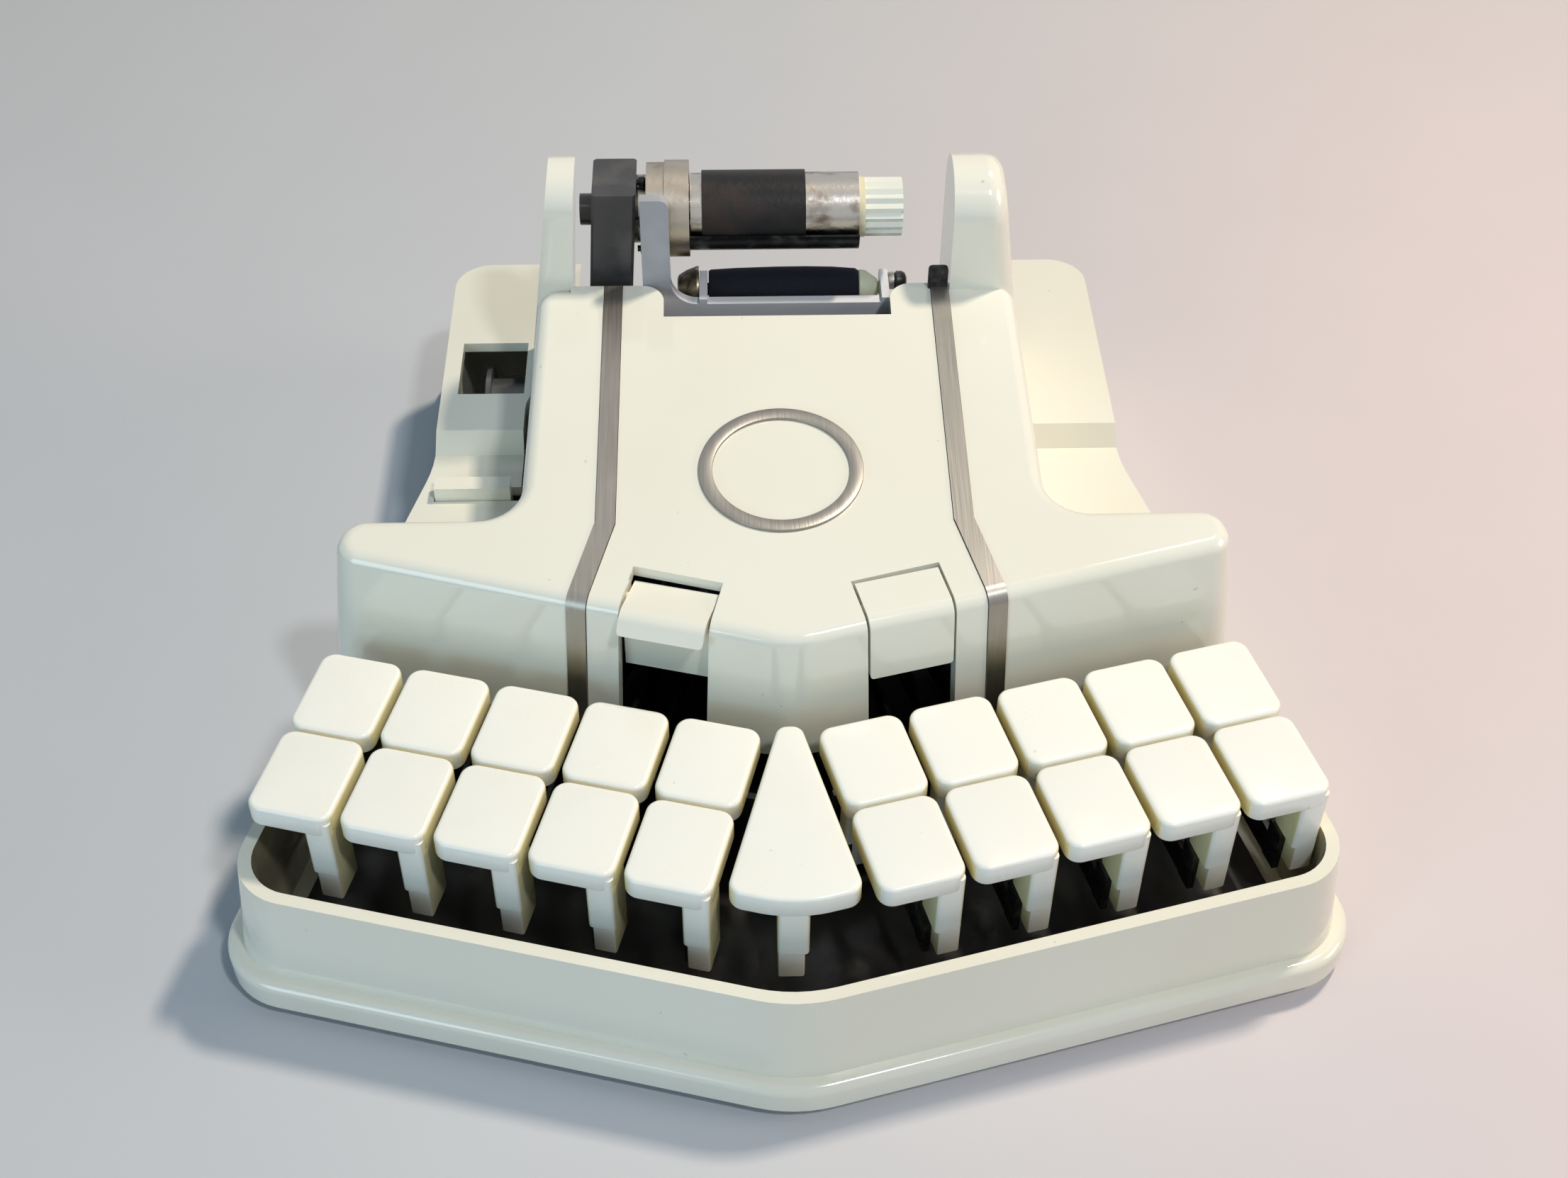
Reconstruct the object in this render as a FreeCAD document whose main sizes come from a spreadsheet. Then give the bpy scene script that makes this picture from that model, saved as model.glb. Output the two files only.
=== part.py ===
import FreeCAD, Part
import math
import os
import re
import Sketcher

os.makedirs("parts", exist_ok=True)
doc = FreeCAD.newDocument("stenotype")
book = doc.addObject("Spreadsheet::Sheet", "book")

# Sizes, in millimetres and degrees.
# Y is measured from the point where the lines of the two key rows meet, and vertex_shift
# then moves every piece so that the origin lies under the middle of the base.
# "Along" runs outwards with a key row and "out" runs towards the typist, square to it.
SIZES = {
    "vertex_shift": -51.26,
    "row_angle": 14.7,
    # key caps
    "key_columns": 5,
    "key_pitch": 18.5,
    "first_column": 12.9,
    "back_row_out": 13.65,
    "row_step": 21.2,
    "cap_top": 45,
    "cap_thick": 5,
    "cap_width": 17,
    "cap_length": 20.5,
    "cap_corner": 3,
    "stem_width": 5,
    "stem_depth": 4.5,
    "stem_setback": 4,
    "stem_bottom": 22,
    "clip_top": 28,
    "clip_width": 1.4,
    # middle key
    "middle_side_along": 2,
    "middle_tip": 1,
    "middle_tip_round": 2.3,
    "middle_shoulder": 41.2,
    "middle_front": 44.6,
    "middle_front_round": 24,
    "middle_corner": 3,
    "middle_stem_front": 40,
    "middle_lever_x": 1,
    # key levers
    "lever_thick": 1,
    "lever_bottom": 17.5,
    "lever_depth": 6.5,
    "lever_straight_out": 2,
    "neck_low": 62,
    "neck_high": 56,
    "pivot_y": 70,
    "pivot_z": 43,
    "pivot_pitch": 4.6,
    "pivot_straight": 6,
    "lever_eye": 4.5,
    "rear_band_low": 38.5,
    "rear_band_high": 47,
    "type_pitch": 1.65,
    "type_bend_last": 97,
    "type_bend_step": 1.9,
    "type_arm_width": 6,
    "type_arm_y": 99.5,
    "type_arm_top": 60,
    "press_angle": 4.5,
    # shaft and springs
    "shaft_radius": 2,
    "running_gap": 0.05,
    "spring_radius": 3,
    "spring_side_gap": 0.3,
    # black chassis
    "chassis_thick": 1.2,
    "chassis_inset": 3,
    "chassis_end_gap": 4,
    "comb_end_gap": 0.1,
    "comb_out": 5,
    "comb_thick": 1.5,
    "comb_top": 27,
    "comb_slot": 2.4,
    "comb_slot_bottom": 10.5,
    "ear_inside": 49.3,
    "ear_thick": 1.5,
    "ear_front": 65.5,
    "ear_rear": 76,
    "ear_top": 48,
    # lower case
    "foot_height": 3,
    "case_wall": 2.5,
    "base_wall": 5,
    "pod_base_wall": 5.7,
    "case_floor": 2,
    "case_draft": 5,
    "case_out": 58,
    "case_along": 101.05,
    "case_half": 81.2,
    "case_rear": 162,
    "flange_step": 2.6,
    "flange_top": 9.5,
    "flange_round": 2,
    "rim_top": 31,
    "deck_low": 34,
    "deck_high": 39,
    "deck_step_front": 92.5,
    "deck_step_rear": 95.5,
    "rim_step_y": 40,
    "apex_round": 30,
    "front_corner": 12,
    "waist_round": 40,
    "rear_corner": 9,
    "cavity_rear": 103.5,
    "bay_rear": 110,
    "pod_inside": 50,
    "seat_gap": 0.3,
    "window_rim": 1.3,
    "window_width": 15.4,
    "window_length": 18.9,
    "foot_radius": 6,
    # upper cover
    "cover_wall": 2.5,
    "cover_draft": 7.5,
    "cover_out": -2.2,
    "cover_along": 100,
    "cover_shoulder_y": 44.2,
    "cover_half": 57.9,
    "cover_rear": 112.4,
    "cover_blank_top": 74,
    "top_height": 64,
    "top_at_y": 40,
    "top_slope": 5.7,
    "cover_edge": 3.2,
    "cover_nose_round": 26,
    "cover_corner": 9.2,
    "cover_inner_corner": 5,
    "cover_back_corner": 9,
    "notch_left": 25.1,
    "notch_right": 25.1,
    "notch_front": 97.2,
    "notch_corner": 5,
    "rear_lip_z": 66,
    "lip_front": 101,
    "strip_break": 103.9,
    # posts beside the platen
    "post_inside": 43.8,
    "post_outside": 49.6,
    "post_front": 107.2,
    "post_round": 9,
    "post_top": 97,
    "post_base": 39.3,
    "post_flat": 0.2,
    "post_lean": 3.7,
    "fin_inside": 38.5,
    "fin_outside": 49.6,
    "fin_front": 105,
    "fin_round": 10.5,
    "fin_edge": 4.5,
    # trim strips
    "strip_width": 4,
    "strip_x": 36.3,
    "strip_along": 44.6,
    "strip_proud": 0.4,
    "strip_deep": 0.8,
    "strip_gap": 0.1,
    # shift levers
    "thumb_low_along": 17.6,
    "thumb_high_along": 36,
    "thumb_back": 17.4,
    "thumb_tab_back": 16.4,
    "thumb_gap": 0.5,
    "thumb_thick": 2.4,
    "thumb_corner_y": 6.1,
    "thumb_nose_z": 47,
    "thumb_nose_round": 0.8,
    "thumb_pivot_y": 12.5,
    "thumb_pivot_z": 58.5,
    "thumb_pin": 1.2,
    "thumb_pin_reach": 2,
    "thumb_cheek": 2,
    "thumb_lug_thick": 2.4,
    "thumb_lug_half": 3,
    "thumb_lug_top": 60.3,
    "thumb_sink": 2.6,
    "thumb_ridge_y": 5.4,
    "thumb_ridge_rise": 0.4,
    "thumb_lip_y": 2.4,
    "thumb_lip_z": 58,
    "thumb_lip_thick": 1.6,
    "thumb_apron_y": 7.6,
    "thumb_apron_thick": 1.4,
    "thumb_apron_z": 45,
    # printing group
    "plate_front": 107.4,
    "frame_gap": 0.2,
    "plate_left": 29.8,
    "plate_right": 30,
    "plate_foot_left": 41.5,
    "plate_foot_top": 64,
    "plate_bottom": 20,
    "plate_bar_top": 65.3,
    "plate_arm_right": 23.6,
    "plate_arm_top": 93,
    "plate_round": 6,
    "plate_arm_round": 2,
    "plate_window_half": 19,
    "plate_window_low": 36,
    "plate_window_high": 56,
    "platen_y": 120.9,
    "platen_z": 81.8,
    "sleeve_left": 16.4,
    "drum_right": 18.5,
    "sleeve_right": 6.6,
    "drum_radius": 7.8,
    "sleeve_radius": 8.4,
    "knob_radius": 6.55,
    "knob_length": 9.8,
    "knob_flutes": 18,
    "knob_edge": 1.4,
    "knob_flute": 0.55,
    "knob_ring": 0.25,
    "drum_end_gap": 0.3,
    "axle_radius": 2.5,
    "block_left": 40.2,
    "block_right": 30.6,
    "block_depth": 14.5,
    "block_bottom": 39.3,
    "block_top": 92.6,
    "block_edge": 0.6,
    "block_lean": 3.7,
    "collar_right": 19.2,
    "collar_radius": 10.7,
    "collar_hub": 24.6,
    "collar_hub_radius": 10.2,
    "collar_neck": 28.6,
    "collar_neck_radius": 7.5,
    "stub_radius": 3.5,
    "stub_reach": 3.4,
    "guide_inner": 8.7,
    "guide_thick": 0.6,
    "guide_sweep": 110,
    "guide_start": 190,
    "guide_right": 18.6,
    "ink_y": 116.5,
    "ink_z": 62.6,
    "ink_radius": 5,
    "ink_left": 15,
    "ink_right": 19,
    "ink_cone_right": 23.3,
    "ink_pin": 1.5,
    "ink_cone_big": 4.2,
    "ink_cone_small": 2.2,
    "ink_side_gap": 0.5,
    "ink_ear_thick": 1.8,
    "ink_ear_half": 4,
    # release key and paper spool
    "release_inset": 0.8,
    "release_width": 16.9,
    "release_travel_gap": 2.1,
    "release_front": 77.2,
    "release_rear": 81.2,
    "release_top": 37.5,
    "release_bottom": 27,
    "release_foot": 1.5,
    "release_clear": 0.3,
    "spool_back": 3.05,
    "spool_end": 6.5,
    "spool_inner_end": 4,
    "spool_z": 22,
    "spool_radius": 9,
    "spool_flange": 11.5,
    "spool_flange_thick": 1.2,
    "spool_pin": 2,
    "spool_pin_sink": 1,
    "spool_end_gap": 0.2,
    "foot_front_x": 84,
    "foot_front_y": -20,
    "foot_rear_x": 66,
    "foot_rear_y": 146,
    "foot_nose_y": -44,
    "overrun": 20,
}

# Places that follow from the sizes, so that walls stay walls and pieces stay in their rooms.
FOLLOWING = {
    "inner_out": "case_out - base_wall",
    "inner_along": "case_along - base_wall",
    "inner_half": "case_half - pod_base_wall",
    "bay_half": "pod_inside - case_wall",
    "pod_front": "cavity_rear + case_wall",
    "chassis_out": "inner_out - chassis_inset",
    "chassis_along": "inner_along - chassis_end_gap",
    "chassis_rear": "cavity_rear - case_wall / 2",
    "comb_along": "inner_along - comb_end_gap",
    "shaft_half": "ear_inside + ear_thick",
    "notch_mouth": "plate_front - frame_gap",
    "strip_rear": "notch_mouth - 2 * frame_gap",
    "opening_left": "post_inside + (post_top - rear_lip_z) * tan(post_lean)",
    "block_shift": "(block_top - block_bottom) * tan(block_lean)",
    "window_left": "inner_half - window_rim",
    "window_right": "window_left - window_width",
    "window_front": "pod_front + case_wall",
    "window_rear": "window_front + window_length",
    "release_left": "inner_along / cos(row_angle) - release_rear * tan(row_angle) - release_inset",
    "release_right": "release_left - release_width",
    "release_slot_right": "release_right - release_travel_gap",
    "spool_y": "(window_front + window_rear) / 2 + spool_back",
    "spool_left": "inner_half - spool_end",
    "spool_right": "pod_inside + spool_inner_end",
}

for row, (alias, number) in enumerate(SIZES.items(), 1):
    book.set("A%d" % row, alias)
    book.set("B%d" % row, str(number))
    book.setAlias("B%d" % row, alias)
doc.recompute()


def bound(text):
    """Turns words of the size lists into references to the sheet."""
    def refer(word):
        if word[0] in FOLLOWING:
            return "(%s)" % bound(FOLLOWING[word[0]])
        return "book." + word[0] if word[0] in SIZES else word[0]

    return re.sub(r"[a-z_]+", refer, str(text))


def value(text):
    """The present value of an expression."""
    return float(book.evalExpression(bound(text)))


def row_point(along, out, side):
    """A plan point given along and square to a key row."""
    x = "%d * ((%s) * cos(row_angle) + (%s) * sin(row_angle))" % (side, along, out)
    y = "(%s) * sin(row_angle) - (%s) * cos(row_angle)" % (along, out)
    return x, y


def apex(out):
    """The point on the middle plane where the two lines at this distance meet."""
    return "0", "-(%s) / cos(row_angle)" % out


def waist(along, half):
    """Where a side that runs with the key columns reaches the straight rear side."""
    return "((%s) - (%s) * cos(row_angle)) / sin(row_angle)" % (along, half)


def rectangle(low_x, high_x, low_y, high_y):
    return [(low_x, low_y), (high_x, low_y), (high_x, high_y), (low_x, high_y)]


def new_body(label):
    body = doc.addObject("PartDesign::Body", label)
    body.Label = label
    return body


def draw(body, role, offset, corners, rounds=None):
    """A closed sketch on one of the body's own planes: straight sides, some corners rounded."""
    plane = [feature for feature in body.Origin.OriginFeatures if feature.Role == role][0]
    sketch = body.newObject("Sketcher::SketchObject", body.Label + "_outline")
    sketch.AttachmentSupport = [(plane, "")]
    sketch.MapMode = "FlatFace"
    sketch.setExpression("AttachmentOffset.Base.z", bound(offset))
    points = [FreeCAD.Vector(value(x), value(y), 0) for x, y in corners]
    count = len(points)
    rounds = rounds or ["0"] * count
    before, after, arcs = [], [], {}
    for i, corner in enumerate(points):
        radius = value(rounds[i])
        back = (points[i - 1] - corner).normalize()
        on = (points[(i + 1) % count] - corner).normalize()
        half = back.getAngle(on) / 2
        before.append(corner + back * (radius / math.tan(half)))
        after.append(corner + on * (radius / math.tan(half)))
        if radius > 0:
            centre = corner + (back + on).normalize() * (radius / math.sin(half))
            bend = centre + (corner - centre).normalize() * radius
            arcs[i] = (Part.Arc(before[i], bend, after[i]), on.cross(back).z > 0)
    sketch.addGeometry([Part.LineSegment(after[i], before[(i + 1) % count]) for i in range(count)])
    rules, bindings = [], []

    def hold(rule, text):
        bindings.append((len(rules), text))
        rules.append(rule)

    for i, corner in enumerate(points):
        last, spot = (i - 1) % count, i
        if i in arcs:
            arc = sketch.addGeometry(arcs[i][0])
            first, second = (1, 2) if arcs[i][1] else (2, 1)
            rules.append(Sketcher.Constraint("Tangent", last, 2, arc, first))
            rules.append(Sketcher.Constraint("Tangent", arc, second, i, 1))
            hold(Sketcher.Constraint("Radius", arc, value(rounds[i])), rounds[i])
            spot = sketch.addGeometry(Part.Point(corner), True)
            rules.append(Sketcher.Constraint("PointOnObject", spot, 1, last))
            rules.append(Sketcher.Constraint("PointOnObject", spot, 1, i))
        else:
            rules.append(Sketcher.Constraint("Coincident", last, 2, i, 1))
        hold(Sketcher.Constraint("DistanceX", -1, 1, spot, 1, corner.x), corners[i][0])
        hold(Sketcher.Constraint("DistanceY", -1, 1, spot, 1, corner.y), corners[i][1])
    sketch.addConstraint(rules)
    for number, text in bindings:
        sketch.setExpression("Constraints[%d]" % number, bound(text))
    return sketch


def pad(body, role, low, high, corners, taper="0", rounds=None):
    """Adds a straight or tapered block between two heights over the plane."""
    feature = body.newObject("PartDesign::Pad", body.Label + "_pad")
    feature.Profile = draw(body, role, low, corners, rounds)
    feature.setExpression("Length", bound("(%s) - (%s)" % (high, low)))
    feature.setExpression("TaperAngle", bound(taper))
    doc.recompute()
    return feature


def pocket(body, role, low, high, corners):
    """Cuts a straight block between two heights over the plane."""
    feature = body.newObject("PartDesign::Pocket", body.Label + "_pocket")
    feature.Profile = draw(body, role, low, corners)
    feature.Reversed = True
    feature.setExpression("Length", bound("(%s) - (%s)" % (high, low)))
    doc.recompute()
    return feature


def dress(body, kind, size, wanted):
    """Rounds or bevels the edges of the body that a test picks."""
    base = body.Tip
    names = ["Edge%d" % number for number, edge in enumerate(base.Shape.Edges, 1) if wanted(edge)]
    feature = body.newObject("PartDesign::" + kind, body.Label + "_" + kind.lower())
    feature.Base = (base, names)
    feature.setExpression("Radius" if kind == "Fillet" else "Size", bound(size))
    doc.recompute()
    return feature


def spin(body, profile, angle="360"):
    """Turns a profile of (x, radius) points about the X axis."""
    feature = body.newObject("PartDesign::Revolution", body.Label + "_turn")
    sketch = draw(body, "XY_Plane", "0", profile)
    feature.Profile = sketch
    feature.ReferenceAxis = (sketch, ["H_Axis"])
    feature.setExpression("Angle", bound(angle))
    doc.recompute()
    return feature


def place(piece, x="0", y="0", z="0"):
    piece.setExpression("Placement.Base.x", bound(x))
    piece.setExpression("Placement.Base.y", bound("(%s) + vertex_shift" % y))
    piece.setExpression("Placement.Base.z", bound(z))


def join(label, kind, base, tools):
    """A boolean of the base with one or more tools."""
    tool = tools[0]
    if len(tools) > 1:
        tool = doc.addObject("Part::MultiFuse", label + "_tools")
        tool.Shapes = tools
    piece = doc.addObject("Part::" + kind, label)
    piece.Label = label
    piece.Base = base
    piece.Tool = tool
    doc.recompute()
    return piece


def block(label, x, y, z, size_x, size_y, size_z):
    """A plain box with one corner at a bound place."""
    piece = doc.addObject("Part::Box", label)
    for name, text in (("Length", size_x), ("Width", size_y), ("Height", size_z)):
        piece.setExpression(name, bound(text))
    for name, text in (("x", x), ("y", y), ("z", z)):
        piece.setExpression("Placement.Base." + name, bound(text))
    return piece


def rod(label, left, right, y, z, radius):
    """A round bar along X."""
    piece = doc.addObject("Part::Cylinder", label)
    piece.Placement = FreeCAD.Placement(FreeCAD.Vector(), FreeCAD.Rotation(FreeCAD.Vector(0, 1, 0), 90))
    piece.setExpression("Radius", bound(radius))
    piece.setExpression("Height", bound("(%s) - (%s)" % (right, left)))
    for name, text in (("x", left), ("y", y), ("z", z)):
        piece.setExpression("Placement.Base." + name, bound(text))
    return piece


def is_upright(edge):
    """True for an edge that rises, with or without draft."""
    ends = [vertex.Point for vertex in edge.Vertexes]
    return len(ends) == 2 and abs(ends[0].z - ends[1].z) > edge.Length * math.cos(math.radians(30))


def middle(edge):
    return edge.BoundBox.Center


# Key caps. All twenty flat caps are one moulding, with the stem on the right in the front row
# and on the left in the back row, so that the levers lie side by side at half the pitch.
def lever_offset(row):
    return "key_pitch / 4 - stem_width / 2 + clip_width / 2" if row == "front" else \
        "-key_pitch / 4 - stem_width / 2 + clip_width / 2"


def stem_edges(row):
    left = "(%s) - clip_width / 2" % lever_offset(row)
    front = "stem_setback - cap_length / 2"
    return left, left + " + stem_width", front, front + " + stem_depth"


def flat_cap(label, row):
    body = new_body(label)
    half_x, half_y = "cap_width / 2", "cap_length / 2"
    pad(body, "XY_Plane", "cap_top - cap_thick", "cap_top",
        rectangle("-" + half_x, half_x, "-" + half_y, half_y))
    dress(body, "Fillet", "cap_corner", is_upright)
    left, right, front, back = stem_edges(row)
    pad(body, "XY_Plane", "clip_top", "cap_top - cap_thick / 2", rectangle(left, right, front, back))
    pad(body, "XY_Plane", "stem_bottom", "clip_top + cap_thick / 2",
        rectangle(left + " + clip_width", right, front, back))
    return body


def middle_cap(label):
    body = new_body(label)
    along = "middle_side_along"

    def side_x(y):
        return "(%s - (%s) * sin(row_angle)) / cos(row_angle)" % (along, y)

    tip, shoulder = "-middle_tip", "-middle_shoulder"
    pad(body, "XY_Plane", "cap_top - cap_thick", "cap_top", [
        ("0", "-middle_front"), (side_x(shoulder), shoulder), (side_x(tip), tip),
        ("-" + side_x(tip), tip), ("-" + side_x(shoulder), shoulder)])
    for size, place_y in (("middle_tip_round", tip), ("middle_corner", shoulder),
                          ("middle_front_round", "-middle_front")):
        corner_y = value(place_y)
        dress(body, "Fillet", size, lambda edge: is_upright(edge) and abs(middle(edge).y - corner_y) < 1e-6)
    right = "middle_lever_x + clip_width / 2"
    left = right + " - stem_width"
    front = "-middle_stem_front"
    back = "stem_depth - middle_stem_front"
    pad(body, "XY_Plane", "clip_top", "cap_top - cap_thick / 2", rectangle(left, right, front, back))
    pad(body, "XY_Plane", "stem_bottom", "clip_top + cap_thick / 2",
        rectangle(left, right + " - clip_width", front, back))
    return body


# Every key: its side of the machine, its column counted from the middle, and its row.
def column_name(side, column):
    """Columns are numbered from left to right on each side."""
    if side > 0:
        return "right_%d" % (column + 1)
    return "left_%d" % (int(value("key_columns")) - column)


KEYS = [(side, column, row) for side in (-1, 1) for column in range(int(value("key_columns")))
        for row in ("back", "front")]


def key_name(side, column, row):
    return "%s_%s" % (column_name(side, column), row)


def key_turn(side):
    return FreeCAD.Rotation(FreeCAD.Vector(0, 0, 1), side * value("row_angle"))


def cap_centre(side, column, row):
    along = "first_column + %d * key_pitch" % column
    out = "back_row_out" if row == "back" else "back_row_out + row_step"
    return row_point(along, out, side)


pieces = {}


def keep(label, piece):
    pieces[label] = piece
    return piece


for side, column, row in KEYS:
    label = "cap_" + key_name(side, column, row)
    cap = keep(label, flat_cap(label, row))
    cap.Placement = FreeCAD.Placement(FreeCAD.Vector(), key_turn(side))
    place(cap, *cap_centre(side, column, row))
place(keep("cap_middle", middle_cap("cap_middle")))

# Key levers. Each is a steel strip on edge: it runs back from its cap, slants in to its place
# on the shaft and slants again to its type arm. The plan of the strip and one side profile
# that all the levers share cross to give the lever.
def strip_face(points, thick):
    """A flat strip of one width along straight runs, with mitred bends."""
    left, right = [], []
    for i, point in enumerate(points):
        before = (point - points[i - 1]).normalize() if i else None
        after = (points[i + 1] - point).normalize() if i + 1 < len(points) else None
        run = before + after if before and after else before or after
        run = run.normalize()
        square = FreeCAD.Vector(-run.y, run.x, 0)
        reach = thick / 2 / (run.dot(before or after))
        left.append(point + square * reach)
        right.append(point - square * reach)
    return Part.Face(Part.makePolygon(left + right[::-1] + left[:1]))


def lever_place(side, column, row):
    """The lever's place in order from the middle, and its distance along the key row."""
    outer = (row == "front") == (side > 0)
    along = "first_column + %d * key_pitch + (%d) * (%s)" % (column, side, lever_offset(row))
    return 2 * column + (2 if outer else 1), along


def lever_points(side, column, row):
    """The plan of a lever's centre line, from its front end to its type arm."""
    if side == 0:
        order, front = 0, ("middle_lever_x", "-middle_stem_front")
        knee = ("middle_lever_x", "0 - lever_straight_out")
    else:
        order, along = lever_place(side, column, row)
        out = "back_row_out" if row == "back" else "back_row_out + row_step"
        front = row_point(along, out + " + cap_length / 2 - stem_setback", side)
        knee = row_point(along, "lever_straight_out", side)
    pivot_x = "%d * pivot_pitch" % (side * order)
    type_x = "%d * type_pitch" % (side * order)
    bend_y = "type_bend_last - %d * type_bend_step" % (2 * int(value("key_columns")) - order)
    route = [front, knee, (pivot_x, "pivot_y - pivot_straight"), (pivot_x, "pivot_y + pivot_straight")]
    if side:
        route.append((type_x, bend_y))
    route.append((type_x, "type_arm_y + type_arm_width"))
    return [FreeCAD.Vector(value(x), value(y), 0) for x, y in route]


lever_profile = new_body("lever_profile")
pad(lever_profile, "YZ_Plane", "-case_along - overrun", "case_along + overrun", [
    ("-case_out", "lever_bottom"), ("neck_low", "lever_bottom"),
    ("pivot_y + lever_eye", "rear_band_low"), ("type_arm_y", "rear_band_low"),
    ("type_arm_y + type_arm_width", "rear_band_low"), ("type_arm_y + type_arm_width", "type_arm_top"),
    ("type_arm_y", "type_arm_top"), ("type_arm_y", "rear_band_high"),
    ("pivot_y - lever_eye", "rear_band_high"), ("neck_high", "lever_bottom + lever_depth"),
    ("-case_out", "lever_bottom + lever_depth")])
lever_bore = rod("lever_bore", "-shaft_half - overrun", "shaft_half + overrun", "pivot_y", "pivot_z",
                 "shaft_radius + running_gap")


def key_lever(label, side, column, row):
    plan = doc.addObject("Part::Feature", label + "_plan")
    plan.Shape = strip_face(lever_points(side, column, row), value("lever_thick"))
    rise = doc.addObject("Part::Extrusion", label + "_rise")
    rise.Base = plan
    rise.DirMode = "Custom"
    rise.Dir = FreeCAD.Vector(0, 0, 1)
    rise.Solid = True
    rise.setExpression("LengthFwd", bound("type_arm_top"))
    doc.recompute()
    blade = join(label + "_blade", "Common", rise, [lever_profile])
    # the clip that grips the stem
    if side:
        left = "(%s) - clip_width / 2" % lever_offset(row)
        front = "stem_setback - cap_length / 2"
        spot = cap_centre(side, column, row)
    else:
        left = "middle_lever_x - clip_width / 2"
        front = "-middle_stem_front"
        spot = ("0", "0")
    clip = new_body(label + "_clip")
    pad(clip, "XY_Plane", "lever_bottom", "clip_top",
        rectangle(left, left + " + clip_width", front, front + " + stem_depth"))
    clip.Placement = FreeCAD.Placement(FreeCAD.Vector(), key_turn(side))
    clip.setExpression("Placement.Base.x", bound(spot[0]))
    clip.setExpression("Placement.Base.y", bound(spot[1]))
    whole = join(label + "_whole", "Fuse", blade, [clip])
    lever = join(label, "Cut", whole, [lever_bore])
    place(lever)
    return keep(label, lever)


for side, column, row in KEYS:
    key_lever("lever_" + key_name(side, column, row), side, column, row)
key_lever("lever_middle", 0, 0, "front")

# The steel shaft that all the levers turn on, and the torsion springs between them. There are
# many of these small springs, so each is a plain six-sided sleeve around the shaft.
def six_sided(label, left, right, y, z, inner_radius):
    """A six-sided bar along X that a circle of this radius just fits in."""
    piece = doc.addObject("Part::Prism", label)
    piece.Polygon = 6
    piece.Placement = FreeCAD.Placement(FreeCAD.Vector(), FreeCAD.Rotation(FreeCAD.Vector(0, 1, 0), 90))
    piece.setExpression("Circumradius", bound("(%s) / cos(30)" % inner_radius))
    piece.setExpression("Height", bound("(%s) - (%s)" % (right, left)))
    for name, text in (("x", left), ("y", y), ("z", z)):
        piece.setExpression("Placement.Base." + name, bound(text))
    return piece


shaft = rod("key_shaft", "-shaft_half", "shaft_half", "pivot_y", "pivot_z", "shaft_radius")
shaft.Label = "key_shaft"
place(keep("key_shaft", shaft), "-shaft_half", "pivot_y", "pivot_z")

lever_count = 4 * int(value("key_columns")) + 1
coils = []
for number in range(lever_count - 1):
    left = "(%d - %d / 2) * pivot_pitch + lever_thick / 2 + spring_side_gap" % (number, lever_count - 1)
    right = "(%d - %d / 2) * pivot_pitch - lever_thick / 2 - spring_side_gap" % (number + 1, lever_count - 1)
    coils.append(six_sided("coil_%d" % number, left, right, "pivot_y", "pivot_z", "spring_radius"))
coil_set = doc.addObject("Part::MultiFuse", "coil_set")
coil_set.Shapes = coils
spring_bore = six_sided("spring_bore", "-shaft_half - overrun", "shaft_half + overrun", "pivot_y", "pivot_z",
                        "shaft_radius")
place(keep("return_springs", join("return_springs", "Cut", coil_set, [spring_bore])))

# The black pressed chassis: a floor, a V-shaped comb that guides the levers, and two ears
# that hold the shaft.
floor_top = "foot_height + case_floor + chassis_thick"
chassis_floor = new_body("chassis_floor")
pad(chassis_floor, "XY_Plane", "foot_height + case_floor", floor_top, [
    apex("chassis_out"), row_point("chassis_along", "chassis_out", 1),
    ("bay_half + pod_inside / 2", waist("chassis_along", "bay_half + pod_inside / 2")),
    ("bay_half + pod_inside / 2", "chassis_rear"),
    ("-bay_half - pod_inside / 2", "chassis_rear"),
    ("-bay_half - pod_inside / 2", waist("chassis_along", "bay_half + pod_inside / 2")),
    row_point("chassis_along", "chassis_out", -1)])
comb = new_body("comb")
pad(comb, "XY_Plane", "foot_height + case_floor", "comb_top", [
    apex("comb_out + comb_thick"), row_point("comb_along", "comb_out + comb_thick", 1),
    row_point("comb_along", "comb_out", 1), apex("comb_out"),
    row_point("comb_along", "comb_out", -1), row_point("comb_along", "comb_out + comb_thick", -1)])
slots = []
for side, column, row in KEYS:
    along = lever_place(side, column, row)[1]
    slot = new_body("comb_slot")
    pad(slot, "XY_Plane", "comb_slot_bottom", "comb_top + overrun", [
        row_point("%s - comb_slot / 2" % along, "comb_out + 2 * comb_thick", side),
        row_point("%s + comb_slot / 2" % along, "comb_out + 2 * comb_thick", side),
        row_point("%s + comb_slot / 2" % along, "comb_out - comb_thick", side),
        row_point("%s - comb_slot / 2" % along, "comb_out - comb_thick", side)])
    slots.append(slot)
middle_slot = new_body("comb_slot")
pad(middle_slot, "XY_Plane", "comb_slot_bottom", "comb_top + overrun",
    rectangle("middle_lever_x - comb_slot / 2", "middle_lever_x + comb_slot / 2",
              "-comb_out - 4 * comb_thick", "comb_thick - comb_out"))
slots.append(middle_slot)
cut_comb = join("cut_comb", "Cut", comb, slots)
ears = []
for side in (-1, 1):
    ear = new_body("ear")
    low = "ear_inside" if side > 0 else "-ear_inside - ear_thick"
    pad(ear, "YZ_Plane", low, low + " + ear_thick",
        rectangle("ear_front", "ear_rear", "foot_height + case_floor", "ear_top"))
    ears.append(ear)
ear_bore = rod("ear_bore", "-shaft_half - overrun", "shaft_half + overrun", "pivot_y", "pivot_z",
               "shaft_radius")
chassis_blank = join("chassis_blank", "Fuse", chassis_floor, [cut_comb] + ears)
place(keep("chassis", join("chassis", "Cut", chassis_blank, [ear_bore])))


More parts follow.
